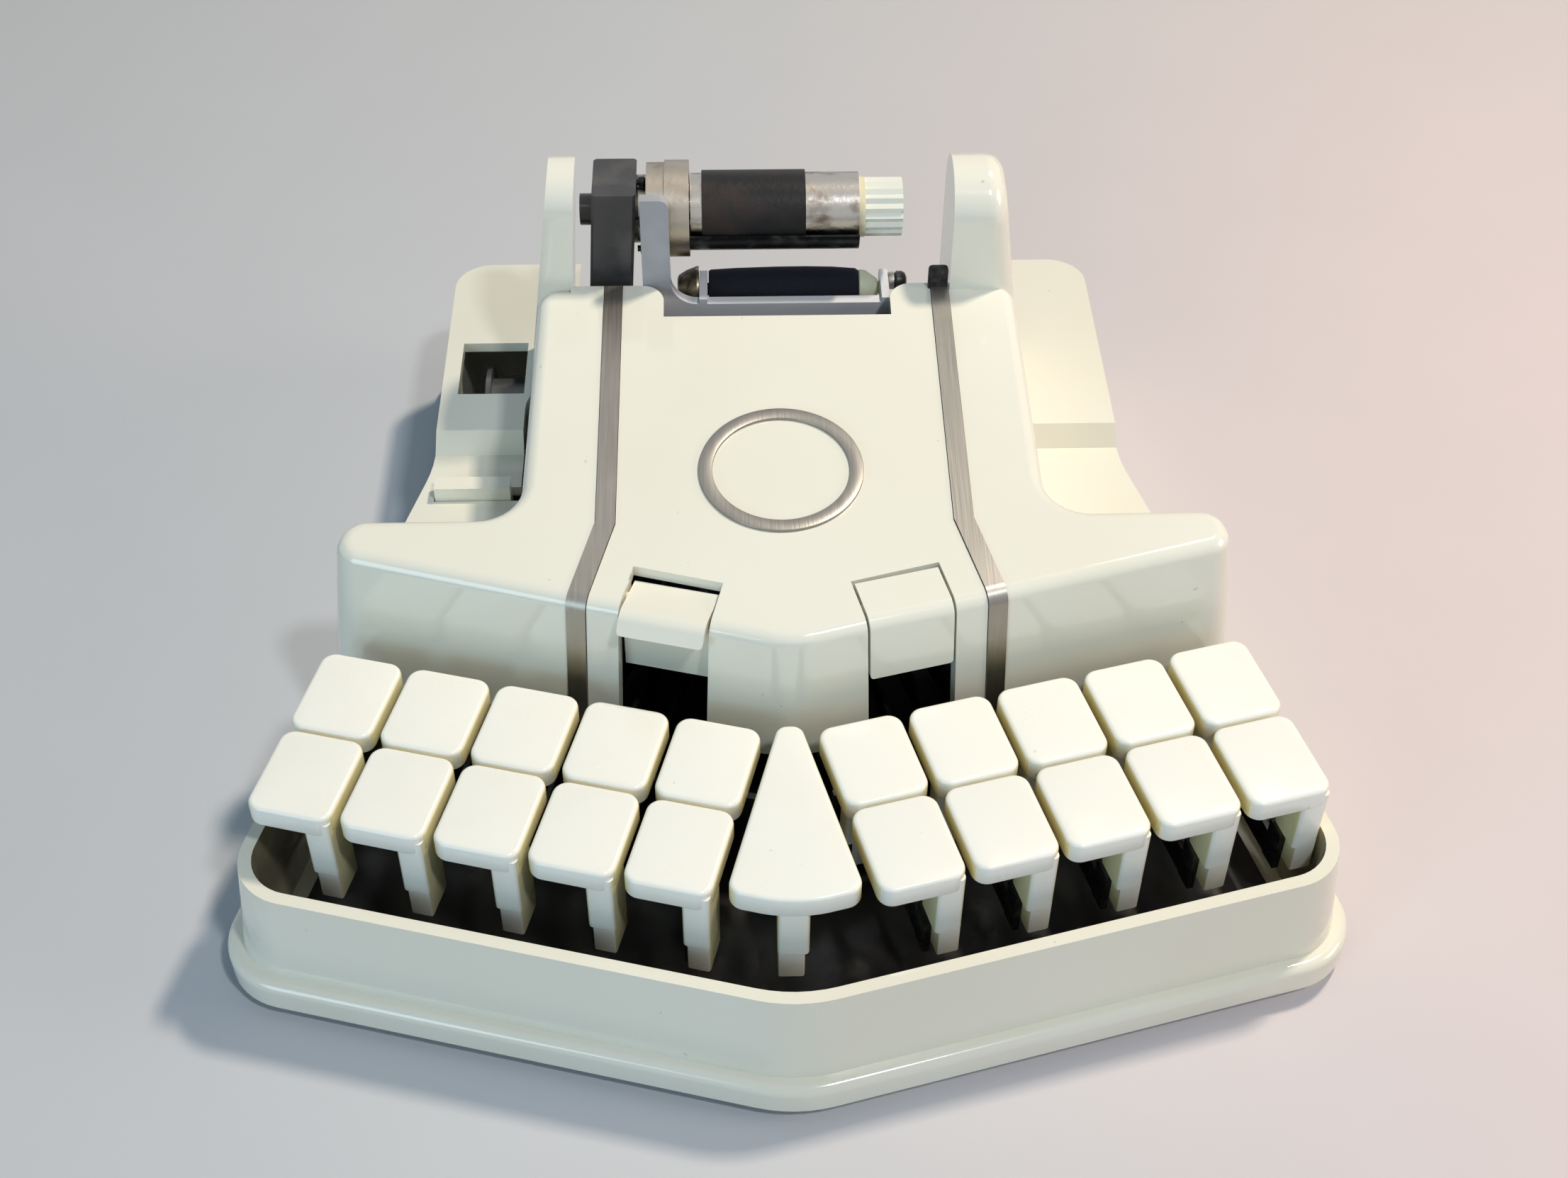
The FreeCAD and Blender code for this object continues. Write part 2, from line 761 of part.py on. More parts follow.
# The lower case: a flange, drafted walls with an open tray for the keys, and two closed pods
# with an open paper bay between them.
def case_outline(grow):
    out, along = "case_out + (%s)" % grow, "case_along + (%s)" % grow
    half, rear = "case_half + (%s)" % grow, "case_rear + (%s)" % grow
    return [apex(out), row_point(along, out, 1), (half, waist(along, half)), (half, rear),
            ("-(%s)" % half, rear), ("-(%s)" % half, waist(along, half)), row_point(along, out, -1)]


def round_case(body, grow):
    """Rounds the upright edges: the apex, the front corners, the waist and the rear corners."""
    corner_y = value(row_point("case_along + " + grow, "case_out + " + grow, 1)[1])
    waist_y = value(waist("case_along + " + grow, "case_half + " + grow))
    rear_y = value("case_rear + " + grow)
    reach = value("case_wall") * 3
    dress(body, "Fillet", "apex_round", lambda edge: is_upright(edge) and abs(middle(edge).x) < 1e-6)
    dress(body, "Fillet", "front_corner + " + grow,
          lambda edge: is_upright(edge) and abs(middle(edge).y - corner_y) < reach
          and abs(middle(edge).x) > value("case_half"))
    dress(body, "Fillet", "waist_round",
          lambda edge: is_upright(edge) and abs(middle(edge).y - waist_y) < reach)
    dress(body, "Fillet", "rear_corner + " + grow,
          lambda edge: is_upright(edge) and abs(middle(edge).y - rear_y) < reach)


flange = new_body("flange")
pad(flange, "XY_Plane", "foot_height", "flange_top", case_outline("flange_step"))
round_case(flange, "flange_step")
flange_top = value("flange_top")
dress(flange, "Fillet", "flange_round", lambda edge: edge.BoundBox.ZMin > flange_top - 1e-6)

walls = new_body("walls")
pad(walls, "XY_Plane", "foot_height", "deck_high", case_outline("0"), "-case_draft")
round_case(walls, "0")
pocket(walls, "YZ_Plane", "-case_half - 2 * overrun", "case_half + 2 * overrun", [
    ("-case_out - overrun", "rim_top"), ("rim_step_y", "rim_top"), ("rim_step_y", "deck_low"),
    ("deck_step_front", "deck_low"), ("deck_step_rear", "deck_high"),
    ("deck_step_rear", "deck_high + overrun"), ("-case_out - overrun", "deck_high + overrun")])

cavity = new_body("cavity")
pad(cavity, "XY_Plane", "foot_height + case_floor", "deck_low - case_wall", [
    apex("inner_out"), row_point("inner_along", "inner_out", 1),
    ("inner_half", waist("inner_along", "inner_half")), ("inner_half", "cavity_rear"),
    ("-inner_half", "cavity_rear"), ("-inner_half", waist("inner_along", "inner_half")),
    row_point("inner_along", "inner_out", -1)])
dress(cavity, "Fillet", "apex_round", lambda edge: is_upright(edge) and abs(middle(edge).x) < 1e-6)
corner_y = value(row_point("inner_along", "inner_out", 1)[1])
dress(cavity, "Fillet", "front_corner - case_wall",
      lambda edge: is_upright(edge) and abs(middle(edge).y - corner_y) < value("case_wall"))


def cover_outline(grow):
    """The cover's foot: a V front, slanted shoulders and a straight hump."""
    out, along = "cover_out + (%s)" % grow, "cover_along + (%s)" % grow
    back, half = "cover_shoulder_y + (%s)" % grow, "cover_half + (%s)" % grow
    side_x = "((%s) - (%s) * sin(row_angle)) / cos(row_angle)" % (along, back)
    rear = "cover_rear + (%s)" % grow
    return [apex(out), row_point(along, out, 1), (side_x, back), (half, back), (half, rear),
            ("-(%s)" % half, rear), ("-(%s)" % half, back), ("-(%s)" % side_x, back),
            row_point(along, out, -1)]


def cover_rounds(grow):
    """The radii at the corners of that outline."""
    corner, inner = "cover_corner + (%s)" % grow, "cover_inner_corner - (%s)" % grow
    back = "cover_back_corner + (%s)" % grow
    return ["cover_nose_round", corner, corner, inner, back, back, inner, corner, corner]


cover_seat = new_body("cover_seat")
pad(cover_seat, "XY_Plane", "rim_top", "deck_high + overrun", cover_outline("seat_gap"), "0",
    cover_rounds("seat_gap"))
bay = new_body("bay")
pad(bay, "XY_Plane", "foot_height + case_floor", "deck_high + overrun",
    rectangle("-bay_half", "bay_half", "cavity_rear - case_wall", "bay_rear"))
paper_bay = new_body("paper_bay")
pad(paper_bay, "XY_Plane", "foot_height + case_floor", "deck_high + overrun",
    rectangle("-bay_half", "bay_half", "bay_rear + case_wall", "case_rear - case_wall"))
bay_mouth = new_body("bay_mouth")
pad(bay_mouth, "XY_Plane", "flange_top", "deck_high + overrun",
    rectangle("-bay_half", "bay_half", "case_rear - 2 * case_wall", "case_rear + overrun"))
hollows = []
for side in (-1, 1):
    hollow = new_body("pod_hollow")
    low, high = ("pod_inside", "inner_half") if side > 0 else ("-inner_half", "-pod_inside")
    pad(hollow, "XY_Plane", "foot_height + case_floor", "deck_high - case_wall",
        rectangle(low, high, "pod_front", "case_rear - 2 * case_wall"))
    hollows.append(hollow)
window = block("window", "-window_left", "window_front", "deck_low - case_wall", "window_left - window_right",
               "window_rear - window_front", "overrun")
release_slot = block("release_slot", "-release_left - release_clear", "release_front - release_clear",
                     "deck_low - 2 * case_wall", "release_left - release_slot_right + release_clear",
                     "release_rear - release_front + 2 * release_clear", "overrun")
spool_bore = rod("spool_bore", "-inner_half - spool_pin_sink - spool_end_gap",
                 "spool_pin_sink + spool_end_gap - pod_inside", "spool_y", "spool_z",
                 "spool_pin + running_gap")
case_blank = join("case_blank", "Fuse", walls, [flange])
lower_case = join("lower_case", "Cut", case_blank,
                  [cavity, cover_seat, bay, paper_bay, bay_mouth, window, release_slot, spool_bore] + hollows)
place(keep("lower_case", lower_case))


# The upper cover: a drafted shell under one sloping top plane.
def cover_solid(label, grow, deeper=False):
    """The cover's outer form, grown or shrunk square to its faces."""
    body = new_body(label)
    low = "rim_top - overrun / 10" if deeper else "rim_top"
    pad(body, "XY_Plane", low, "cover_blank_top", cover_outline(grow), "-cover_draft", cover_rounds(grow))
    reach = "cover_rear + 2 * overrun"
    front_z = "top_height + (%s) - (top_at_y + case_out) * tan(top_slope)" % grow
    rear_z = "top_height + (%s) + (%s - top_at_y) * tan(top_slope)" % (grow, reach)
    pocket(body, "YZ_Plane", "-case_half - 2 * overrun", "case_half + 2 * overrun", [
        ("-case_out", front_z), (reach, rear_z), (reach, "cover_blank_top + overrun"),
        ("-case_out", "cover_blank_top + overrun")])
    slope = math.tan(math.radians(value("top_slope")))
    at_y, height = value("top_at_y"), value("top_height + (%s)" % grow)

    def on_top(edge):
        return all(abs(vertex.Z - height - (vertex.Y - at_y) * slope) < 1e-4 for vertex in edge.Vertexes)

    if value("cover_edge + (%s)" % grow) > value("cover_wall") / 2:
        dress(body, "Fillet", "cover_edge + (%s)" % grow, on_top)
    return body


cover_outer = cover_solid("cover_outer", "0")
cover_inner = cover_solid("cover_inner", "-cover_wall", deeper=True)
cover_shell = join("cover_shell", "Cut", cover_outer, [cover_inner])


def top_at(y):
    """The height of the top plane over a line across the machine."""
    return "top_height + (%s - top_at_y) * tan(top_slope)" % y


# a thicker rim along the back edge, where the top ends without a round
rear_lip = new_body("rear_lip")
pad(rear_lip, "YZ_Plane", "-opening_left", "post_inside", [
    ("lip_front", "rear_lip_z"), ("notch_mouth", "rear_lip_z"), ("notch_mouth", top_at("notch_mouth")),
    ("lip_front", top_at("lip_front"))])
cover_rimmed = join("cover_rimmed", "Fuse", cover_shell, [rear_lip])

# the notch in the back edge, with round outer corners, and the open rear under the lip
notch = new_body("notch")
pad(notch, "XY_Plane", "rim_top - overrun", "cover_blank_top", [
    ("-notch_left", "notch_front"), ("notch_right", "notch_front"), ("notch_right", "notch_mouth"),
    ("post_inside", "notch_mouth"), ("post_inside", "cover_rear + overrun"),
    ("-opening_left", "cover_rear + overrun"), ("-opening_left", "notch_mouth"),
    ("-notch_left", "notch_mouth")])
mouth_y = value("notch_mouth")
dress(notch, "Fillet", "notch_corner", lambda edge: is_upright(edge) and abs(middle(edge).y - mouth_y) < 1e-6
      and abs(middle(edge).x) < value("plate_left"))
rear_opening = block("rear_opening", "-opening_left", "notch_front", "rim_top - overrun",
                     "opening_left + post_inside", "overrun", "rear_lip_z - rim_top + overrun")


# The two posts at the rear are one moulding with the cover: a narrow one on the left and a
# thick rounded one on the right.
def post(label, inside, outside, front, top_round, side, inner_lean):
    rise = "(post_top - post_base)"
    rear = "%s + 2 * %s + post_flat" % (front, top_round)
    across = new_body(label + "_across")
    points = [("%s + %s * tan(%s)" % (inside, rise, inner_lean), "post_base"),
              ("%s + %s * tan(cover_draft)" % (outside, rise), "post_base"), (outside, "post_top"),
              (inside, "post_top")]
    if side < 0:
        points = [("-(%s)" % x, z) for x, z in points][::-1]
    pad(across, "XZ_Plane", "-(%s)" % rear, "-(%s)" % front, points)
    along = new_body(label + "_along")
    pad(along, "YZ_Plane", "-cover_half - overrun", "cover_half + overrun",
        rectangle(front, rear, "post_base", "post_top"))
    top = value("post_top")
    dress(along, "Fillet", top_round,
          lambda edge: edge.BoundBox.ZMin > top - 1e-6 and edge.BoundBox.XLength > 1)
    return join(label, "Common", across, [along])


left_post = post("left_post", "post_inside", "post_outside", "post_front", "post_round", -1, "post_lean")
fin_blank = post("fin_blank", "fin_inside", "fin_outside", "fin_front", "fin_round", 1, "0")
fin = doc.addObject("Part::Fillet", "right_fin")
fin.Base = fin_blank
outer_x, reach = value("fin_inside + 1"), value("fin_edge")
fin.Edges = [(number, reach, reach) for number, edge in enumerate(fin_blank.Shape.Edges, 1)
             if edge.BoundBox.XMin > outer_x and edge.BoundBox.YLength < edge.BoundBox.ZLength * 3
             and edge.BoundBox.ZMax > value("post_base") + 1]
doc.recompute()


# Lugs under the cover carry the pins of the two shift levers.
def thumb_frame(piece, side):
    """Turns a piece built square to its opening into the line of the key row."""
    x, y = row_point("(thumb_low_along + thumb_high_along) / 2", "0", side)
    piece.Placement = FreeCAD.Placement(FreeCAD.Vector(), key_turn(side))
    piece.setExpression("Placement.Base.x", bound(x))
    piece.setExpression("Placement.Base.y", bound(y))
    return piece


thumb_half = "(thumb_high_along - thumb_low_along) / 2"
thumb_mid = "(thumb_high_along + thumb_low_along) / 2"


def turned_rod(label, half, side, radius):
    """A bar on a shift lever's axis, along the key row."""
    piece = doc.addObject("Part::Cylinder", label)
    lay = FreeCAD.Rotation(FreeCAD.Vector(0, 1, 0), 90)
    piece.Placement = FreeCAD.Placement(FreeCAD.Vector(), key_turn(side).multiply(lay))
    piece.setExpression("Radius", bound(radius))
    piece.setExpression("Height", bound("2 * (%s)" % half))
    x, y = row_point("%s - %d * (%s)" % (thumb_mid, side, half), "-thumb_pivot_y", side)
    for name, text in (("x", x), ("y", y), ("z", "thumb_pivot_z")):
        piece.setExpression("Placement.Base." + name, bound(text))
    return piece


openings, lugs, pin_bores = [], [], []
for side in (-1, 1):
    opening = new_body("thumb_opening")
    pad(opening, "XY_Plane", "rim_top - overrun", "cover_blank_top",
        rectangle("-%s" % thumb_half, thumb_half, "-overrun", "thumb_back"))
    openings.append(thumb_frame(opening, side))
    for end in (-1, 1):
        lug = new_body("thumb_lug")
        inner, outer = thumb_half, "%s + thumb_lug_thick" % thumb_half
        low, high = (inner, outer) if end > 0 else ("-(%s)" % outer, "-(%s)" % inner)
        pad(lug, "YZ_Plane", low, high, rectangle(
            "thumb_pivot_y - thumb_lug_half", "thumb_pivot_y + thumb_lug_half",
            "thumb_pivot_z - thumb_lug_half", "thumb_lug_top"))
        lugs.append(thumb_frame(lug, side))
    pin_bores.append(turned_rod("thumb_bore", thumb_half + " + overrun / 4", side, "thumb_pin + running_gap"))


# Grooves for the two trim strips: each strip runs straight from the back edge, bends outwards
# with the key columns and goes down over the front edge.
def strip_prism(label, side, width):
    """The plan of one strip, of any width, raised through the cover."""
    bend = waist("strip_along", "strip_x")
    route = [("%d * strip_x" % side, "strip_break"), ("%d * strip_x" % side, bend),
             row_point("strip_along", "case_wall - cover_out", side)]
    plan = doc.addObject("Part::Feature", label + "_plan")
    points = [FreeCAD.Vector(value(x), value(y), value("rim_top")) for x, y in route]
    plan.Shape = strip_face(points, width)
    rise = doc.addObject("Part::Extrusion", label)
    rise.Base = plan
    rise.DirMode = "Custom"
    rise.Dir = FreeCAD.Vector(0, 0, 1)
    rise.Solid = True
    rise.setExpression("LengthFwd", bound("cover_blank_top - rim_top"))
    doc.recompute()
    return rise


def strip_tail(label, side, front, rear, half, high):
    """The straight end of one strip or groove on the rim at the back edge."""
    tail = new_body(label)
    spot = "%d * strip_x" % side
    pad(tail, "YZ_Plane", "%s - (%s)" % (spot, half), "%s + %s" % (spot, half), [
        (front, top_at(front) + " - strip_deep"), (rear, top_at(rear) + " - strip_deep"),
        (rear, top_at(rear) + " + " + high), (front, top_at(front) + " + " + high)])
    return tail


strip_outer = cover_solid("strip_outer", "strip_proud")
strip_inner = cover_solid("strip_inner", "-strip_deep", deeper=True)
grooves, strips = [], []
for side in (-1, 1):
    wide = strip_prism("groove_prism", side, value("strip_width + 2 * strip_gap"))
    grooves.append(join("groove", "Cut", wide, [strip_inner]))
    grooves.append(strip_tail("groove_tail", side, "strip_break", "notch_mouth + seat_gap",
                              "strip_width / 2 + strip_gap", "case_wall"))
    narrow = strip_prism("strip_prism", side, value("strip_width"))
    strip_skin = join("strip_skin", "Common", narrow, [strip_outer])
    strips.append(join("strip", "Cut", strip_skin, [strip_inner]))
    strips.append(strip_tail("strip_tail", side, "strip_break", "strip_rear", "strip_width / 2",
                             "strip_proud"))
both_strips = doc.addObject("Part::MultiFuse", "trim_strips")
both_strips.Shapes = strips
both_strips.Label = "trim_strips"
doc.recompute()
place(keep("trim_strips", both_strips))

cover_open = join("cover_open", "Cut", cover_rimmed, [notch, rear_opening] + openings + grooves)
cover_whole = join("cover_whole", "Fuse", cover_open, [left_post, fin] + lugs)
upper_cover = join("upper_cover", "Cut", cover_whole, pin_bores)
place(keep("upper_cover", upper_cover))


# The shift levers in the two openings. The right one lies flush and its nose hangs down the
# front. The left one is tipped up, so its back is sunk and its lip stands over an apron.
def top_z(y):
    """The cover's top plane over a place on a shift lever's middle line."""
    return ("(top_height + tan(top_slope) * (sin(row_angle) * %s + cos(row_angle) * (%s) - top_at_y))"
            % (thumb_mid, y))


def front_y(z):
    """The cover's front face at a height, square to the key row."""
    return "((%s - rim_top) * tan(cover_draft) - cover_out)" % z


THUMB_PROFILES = {
    1: [("thumb_tab_back", top_z("thumb_tab_back")), ("thumb_corner_y", top_z("thumb_corner_y")),
        (front_y("thumb_nose_z"), "thumb_nose_z"),
        (front_y("thumb_nose_z") + " + thumb_thick", "thumb_nose_z"),
        ("thumb_corner_y + thumb_thick", top_z("thumb_corner_y") + " - thumb_thick"),
        ("thumb_tab_back", top_z("thumb_tab_back") + " - thumb_thick")],
    -1: [("thumb_tab_back", top_z("thumb_tab_back") + " - thumb_sink"),
         ("thumb_ridge_y", top_z("thumb_ridge_y") + " + thumb_ridge_rise"),
         ("thumb_lip_y", "thumb_lip_z"), ("thumb_lip_y + thumb_lip_thick", "thumb_lip_z"),
         ("thumb_apron_y", top_z("thumb_apron_y") + " - thumb_thick"), ("thumb_apron_y", "thumb_apron_z"),
         ("thumb_apron_y + thumb_apron_thick", "thumb_apron_z"),
         ("thumb_apron_y + thumb_apron_thick", top_z("thumb_apron_y") + " - thumb_thick"),
         ("thumb_tab_back", top_z("thumb_tab_back") + " - thumb_sink - thumb_thick")],
}


def shift_lever(label, side):
    tab = new_body(label + "_tab")
    wide = "%s - thumb_gap" % thumb_half
    pad(tab, "YZ_Plane", "-(%s)" % wide, wide, THUMB_PROFILES[side])
    bend_z = value(THUMB_PROFILES[side][1][1])
    dress(tab, "Fillet", "cover_edge",
          lambda edge: edge.BoundBox.XLength > 1 and abs(middle(edge).z - bend_z) < 1e-6)
    low_z = value(THUMB_PROFILES[side][2][1])
    dress(tab, "Fillet", "thumb_nose_round", lambda edge: edge.BoundBox.ZMax < low_z + 1e-6
          and edge.BoundBox.ZMin > low_z - 1e-6 and edge.BoundBox.XLength < 1)
    thumb_frame(tab, side)
    parts = []
    for low, high in (("-(%s)" % wide, "thumb_cheek - (%s)" % wide), ("%s - thumb_cheek" % wide, wide)):
        cheek = new_body(label + "_cheek")
        pad(cheek, "YZ_Plane", low, high, rectangle(
            "thumb_pivot_y - thumb_cheek", "thumb_pivot_y + thumb_cheek",
            "thumb_pivot_z - thumb_cheek", "thumb_pivot_z + thumb_cheek / 2"))
        parts.append(thumb_frame(cheek, side))
    parts.append(turned_rod(label + "_pin", thumb_half + " + thumb_pin_reach", side, "thumb_pin"))
    lever = join(label, "Fuse", tab, parts)
    place(lever)
    return keep(label, lever)


shift_lever("shift_lever_left", -1)
shift_lever("shift_lever_right", 1)

# The printing group: an upright L-shaped frame plate with ears for the ink roller, the block
# and collar that carry the platen's axle, the platen, its knob and the paper guide below it.
plate = new_body("plate")
pad(plate, "XZ_Plane", "-bay_rear", "-plate_front", [
    ("-plate_foot_left", "plate_bottom"), ("plate_right", "plate_bottom"), ("plate_right", "plate_bar_top"),
    ("-plate_arm_right", "plate_bar_top"), ("-plate_arm_right", "plate_arm_top"),
    ("-plate_left", "plate_arm_top"), ("-plate_left", "plate_foot_top"),
    ("-plate_foot_left", "plate_foot_top")])
corner_x, corner_z = value("-plate_arm_right"), value("plate_bar_top")
dress(plate, "Fillet", "plate_round", lambda edge: edge.BoundBox.YLength > 1
      and abs(middle(edge).x - corner_x) < 1e-6 and abs(middle(edge).z - corner_z) < 1e-6)
arm_z = value("plate_arm_top")
dress(plate, "Fillet", "plate_arm_round", lambda edge: edge.BoundBox.YLength > 1
      and abs(middle(edge).x - corner_x) < 1e-6 and abs(middle(edge).z - arm_z) < 1e-6)
plate_window = block("plate_window", "-plate_window_half", "plate_front - overrun", "plate_window_low",
                     "2 * plate_window_half", "2 * overrun", "plate_window_high - plate_window_low")
plate_open = join("plate_open", "Cut", plate, [plate_window])
ink_ears = []
for low in ("-ink_left - ink_side_gap - ink_ear_thick", "ink_cone_right + ink_side_gap"):
    ear = new_body("ink_ear")
    pad(ear, "YZ_Plane", low, low + " + ink_ear_thick", rectangle(
        "plate_front", "ink_y + ink_ear_half", "ink_z - ink_ear_half", "ink_z + ink_ear_half"))
    far = value("ink_y + ink_ear_half")
    dress(ear, "Fillet", "ink_ear_half - case_draft / 10",
          lambda edge: edge.BoundBox.XLength > 1 and edge.BoundBox.YMin > far - 1e-6)
    ink_ears.append(ear)
ink_bore = rod("ink_bore", "-ink_left - overrun", "ink_cone_right + overrun", "ink_y", "ink_z",
               "ink_pin + running_gap")
plate_eared = join("plate_eared", "Fuse", plate_open, ink_ears)
place(keep("print_frame", join("print_frame", "Cut", plate_eared, [ink_bore])))

bearing = new_body("bearing")
pad(bearing, "XZ_Plane", "-bay_rear - block_depth", "-bay_rear", [
    ("-block_left - block_shift", "block_bottom"), ("-block_right - block_shift", "block_bottom"),
    ("-block_right", "block_top"), ("-block_left", "block_top")])
dress(bearing, "Chamfer", "block_edge", is_upright)
collar = new_body("collar")
spin(collar, [
    ("-(block_left + block_right) / 2", "0"), ("-(block_left + block_right) / 2", "collar_neck_radius"),
    ("-collar_neck", "collar_neck_radius"), ("-collar_neck", "collar_hub_radius"),
    ("-collar_hub", "collar_hub_radius"), ("-collar_hub", "collar_radius"),
    ("-collar_right", "collar_radius"), ("-collar_right", "0")])
place(collar, "0", "platen_y - vertex_shift", "platen_z")
stub = rod("stub", "-block_left - stub_reach", "block_edge - block_left", "platen_y", "platen_z",
           "stub_radius")
axle_bore = rod("axle_bore", "-block_left - overrun", "overrun - collar_right", "platen_y", "platen_z",
                "axle_radius + running_gap")
bearing_blank = join("bearing_blank", "Fuse", bearing, [collar, stub])
place(keep("bearing_block", join("bearing_block", "Cut", bearing_blank, [axle_bore])))


def turned(label, profile, y, z):
    """A turned piece on an axis along X."""
    body = new_body(label)
    spin(body, profile)
    place(body, "0", y, z)
    return keep(label, body)


turned("platen_drum", [
    ("-block_left", "0"), ("-block_left", "axle_radius"), ("-collar_right + drum_end_gap", "axle_radius"),
    ("-collar_right + drum_end_gap", "drum_radius"), ("drum_right", "drum_radius"),
    ("drum_right", "axle_radius"), ("drum_right + knob_length", "axle_radius"),
    ("drum_right + knob_length", "0")], "platen_y", "platen_z")
turned("platen_sleeve", [
    ("-sleeve_left", "drum_radius"), ("-sleeve_left", "sleeve_radius"), ("sleeve_right", "sleeve_radius"),
    ("sleeve_right", "drum_radius")], "platen_y", "platen_z")

# the knob's flutes run along its whole length, behind a plain ring
knob = new_body("knob")
flutes = []
for number in range(2 * int(value("knob_flutes"))):
    reach = "knob_radius" if number % 2 else "(knob_radius - knob_flute)"
    turn = "%d * 180 / knob_flutes" % number
    flutes.append(("%s * cos(%s)" % (reach, turn), "%s * sin(%s)" % (reach, turn)))
pad(knob, "YZ_Plane", "drum_right", "drum_right + knob_length", flutes)
place(knob, "0", "platen_y - vertex_shift", "platen_z")
knob_ring = rod("knob_ring", "drum_right", "drum_right + knob_edge", "platen_y", "platen_z",
                "knob_radius + knob_ring")
knob_bore = rod("knob_bore", "drum_right - overrun", "drum_right + knob_length + overrun", "platen_y",
                "platen_z", "axle_radius")
knob_blank = join("knob_blank", "Fuse", knob, [knob_ring])
place(keep("platen_knob", join("platen_knob", "Cut", knob_blank, [knob_bore])))

guide = new_body("paper_guide")
spin(guide, [("-collar_right", "guide_inner"), ("-collar_right", "guide_inner + guide_thick"),
             ("guide_right", "guide_inner + guide_thick"), ("guide_right", "guide_inner")], "guide_sweep")
guide.Placement = FreeCAD.Placement(
    FreeCAD.Vector(), FreeCAD.Rotation(FreeCAD.Vector(1, 0, 0), value("guide_start")))
place(keep("paper_guide", guide), "0", "platen_y", "platen_z")

turned("ink_roller", [
    ("-ink_left - ink_side_gap - ink_ear_thick", "0"),
    ("-ink_left - ink_side_gap - ink_ear_thick", "ink_pin"),
    ("-ink_left", "ink_pin"), ("-ink_left", "ink_radius"), ("ink_right", "ink_radius"),
    ("ink_right", "ink_cone_big"), ("ink_cone_right", "ink_cone_small"), ("ink_cone_right", "ink_pin"),
    ("ink_cone_right + ink_side_gap + ink_ear_thick", "ink_pin"),
    ("ink_cone_right + ink_side_gap + ink_ear_thick", "0")], "ink_y", "ink_z")

# The release key in its slot on the left deck, and the paper spool in the left pod.
release = new_body("release_key")
pad(release, "XY_Plane", "release_bottom", "release_top",
    rectangle("-release_left", "-release_right", "release_front", "release_rear"))
pad(release, "XY_Plane", "release_bottom", "deck_low - case_wall - release_clear",
    rectangle("-release_left", "-release_right", "release_front - release_foot",
              "release_rear + release_foot"))
place(keep("release_key", release))

turned("paper_spool", [
    ("-inner_half - spool_pin_sink", "0"), ("-inner_half - spool_pin_sink", "spool_pin"),
    ("-spool_left", "spool_pin"), ("-spool_left", "spool_flange"),
    ("spool_flange_thick - spool_left", "spool_flange"), ("spool_flange_thick - spool_left", "spool_radius"),
    ("-spool_right - spool_flange_thick", "spool_radius"),
    ("-spool_right - spool_flange_thick", "spool_flange"),
    ("-spool_right", "spool_flange"), ("-spool_right", "spool_pin"),
    ("spool_pin_sink - pod_inside", "spool_pin"), ("spool_pin_sink - pod_inside", "0")], "spool_y", "spool_z")

# Five rubber feet: four at the corners and one under the front point.
feet = []
for x, y in (("-foot_front_x", "foot_front_y"), ("foot_front_x", "foot_front_y"), ("0", "foot_nose_y"),
             ("-foot_rear_x", "foot_rear_y"), ("foot_rear_x", "foot_rear_y")):
    foot = doc.addObject("Part::Cylinder", "foot")
    foot.setExpression("Radius", bound("foot_radius"))
    foot.setExpression("Height", bound("foot_height"))
    foot.setExpression("Placement.Base.x", bound(x))
    foot.setExpression("Placement.Base.y", bound(y))
    feet.append(foot)
rubber_feet = doc.addObject("Part::MultiFuse", "rubber_feet")
rubber_feet.Shapes = feet
rubber_feet.Label = "rubber_feet"
place(keep("rubber_feet", rubber_feet))

doc.recompute()
for piece in doc.Objects:
    if "Invalid" in piece.State or "Error" in piece.State:
        raise RuntimeError("%s did not build" % piece.Name)
for label, piece in pieces.items():
    shape = piece.Shape
    if shape.isNull() or not shape.isValid() or not shape.Solids:
        raise RuntimeError("%s has no sound shape" % label)
for label, piece in pieces.items():
    piece.Shape.exportStep("parts/%s.step" % label)
box = FreeCAD.BoundBox()
for piece in pieces.values():
    box.add(piece.Shape.BoundBox)
print("%d pieces, box x %.2f %.2f y %.2f %.2f z %.2f %.2f" % (
    len(pieces), box.XMin, box.XMax, box.YMin, box.YMax, box.ZMin, box.ZMax))
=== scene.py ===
import math

import bmesh
import bpy
from mathutils import Matrix, Vector

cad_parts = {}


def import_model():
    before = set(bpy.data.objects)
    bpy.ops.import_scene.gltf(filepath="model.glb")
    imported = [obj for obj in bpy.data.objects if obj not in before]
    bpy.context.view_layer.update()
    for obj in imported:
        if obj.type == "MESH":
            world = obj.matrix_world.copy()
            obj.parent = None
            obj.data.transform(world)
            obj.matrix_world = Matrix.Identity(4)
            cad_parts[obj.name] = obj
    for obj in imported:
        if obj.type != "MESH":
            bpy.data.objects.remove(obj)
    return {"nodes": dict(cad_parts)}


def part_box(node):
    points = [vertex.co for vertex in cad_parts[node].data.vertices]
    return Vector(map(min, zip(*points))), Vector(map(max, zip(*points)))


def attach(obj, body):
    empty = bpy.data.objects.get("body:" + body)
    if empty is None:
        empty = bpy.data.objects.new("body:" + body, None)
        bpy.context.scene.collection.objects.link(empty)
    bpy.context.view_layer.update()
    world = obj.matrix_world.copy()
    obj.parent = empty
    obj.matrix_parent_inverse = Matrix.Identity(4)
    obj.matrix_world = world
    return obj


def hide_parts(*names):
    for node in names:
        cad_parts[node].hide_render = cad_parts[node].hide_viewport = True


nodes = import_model()["nodes"]
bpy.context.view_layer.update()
MM = 0.001

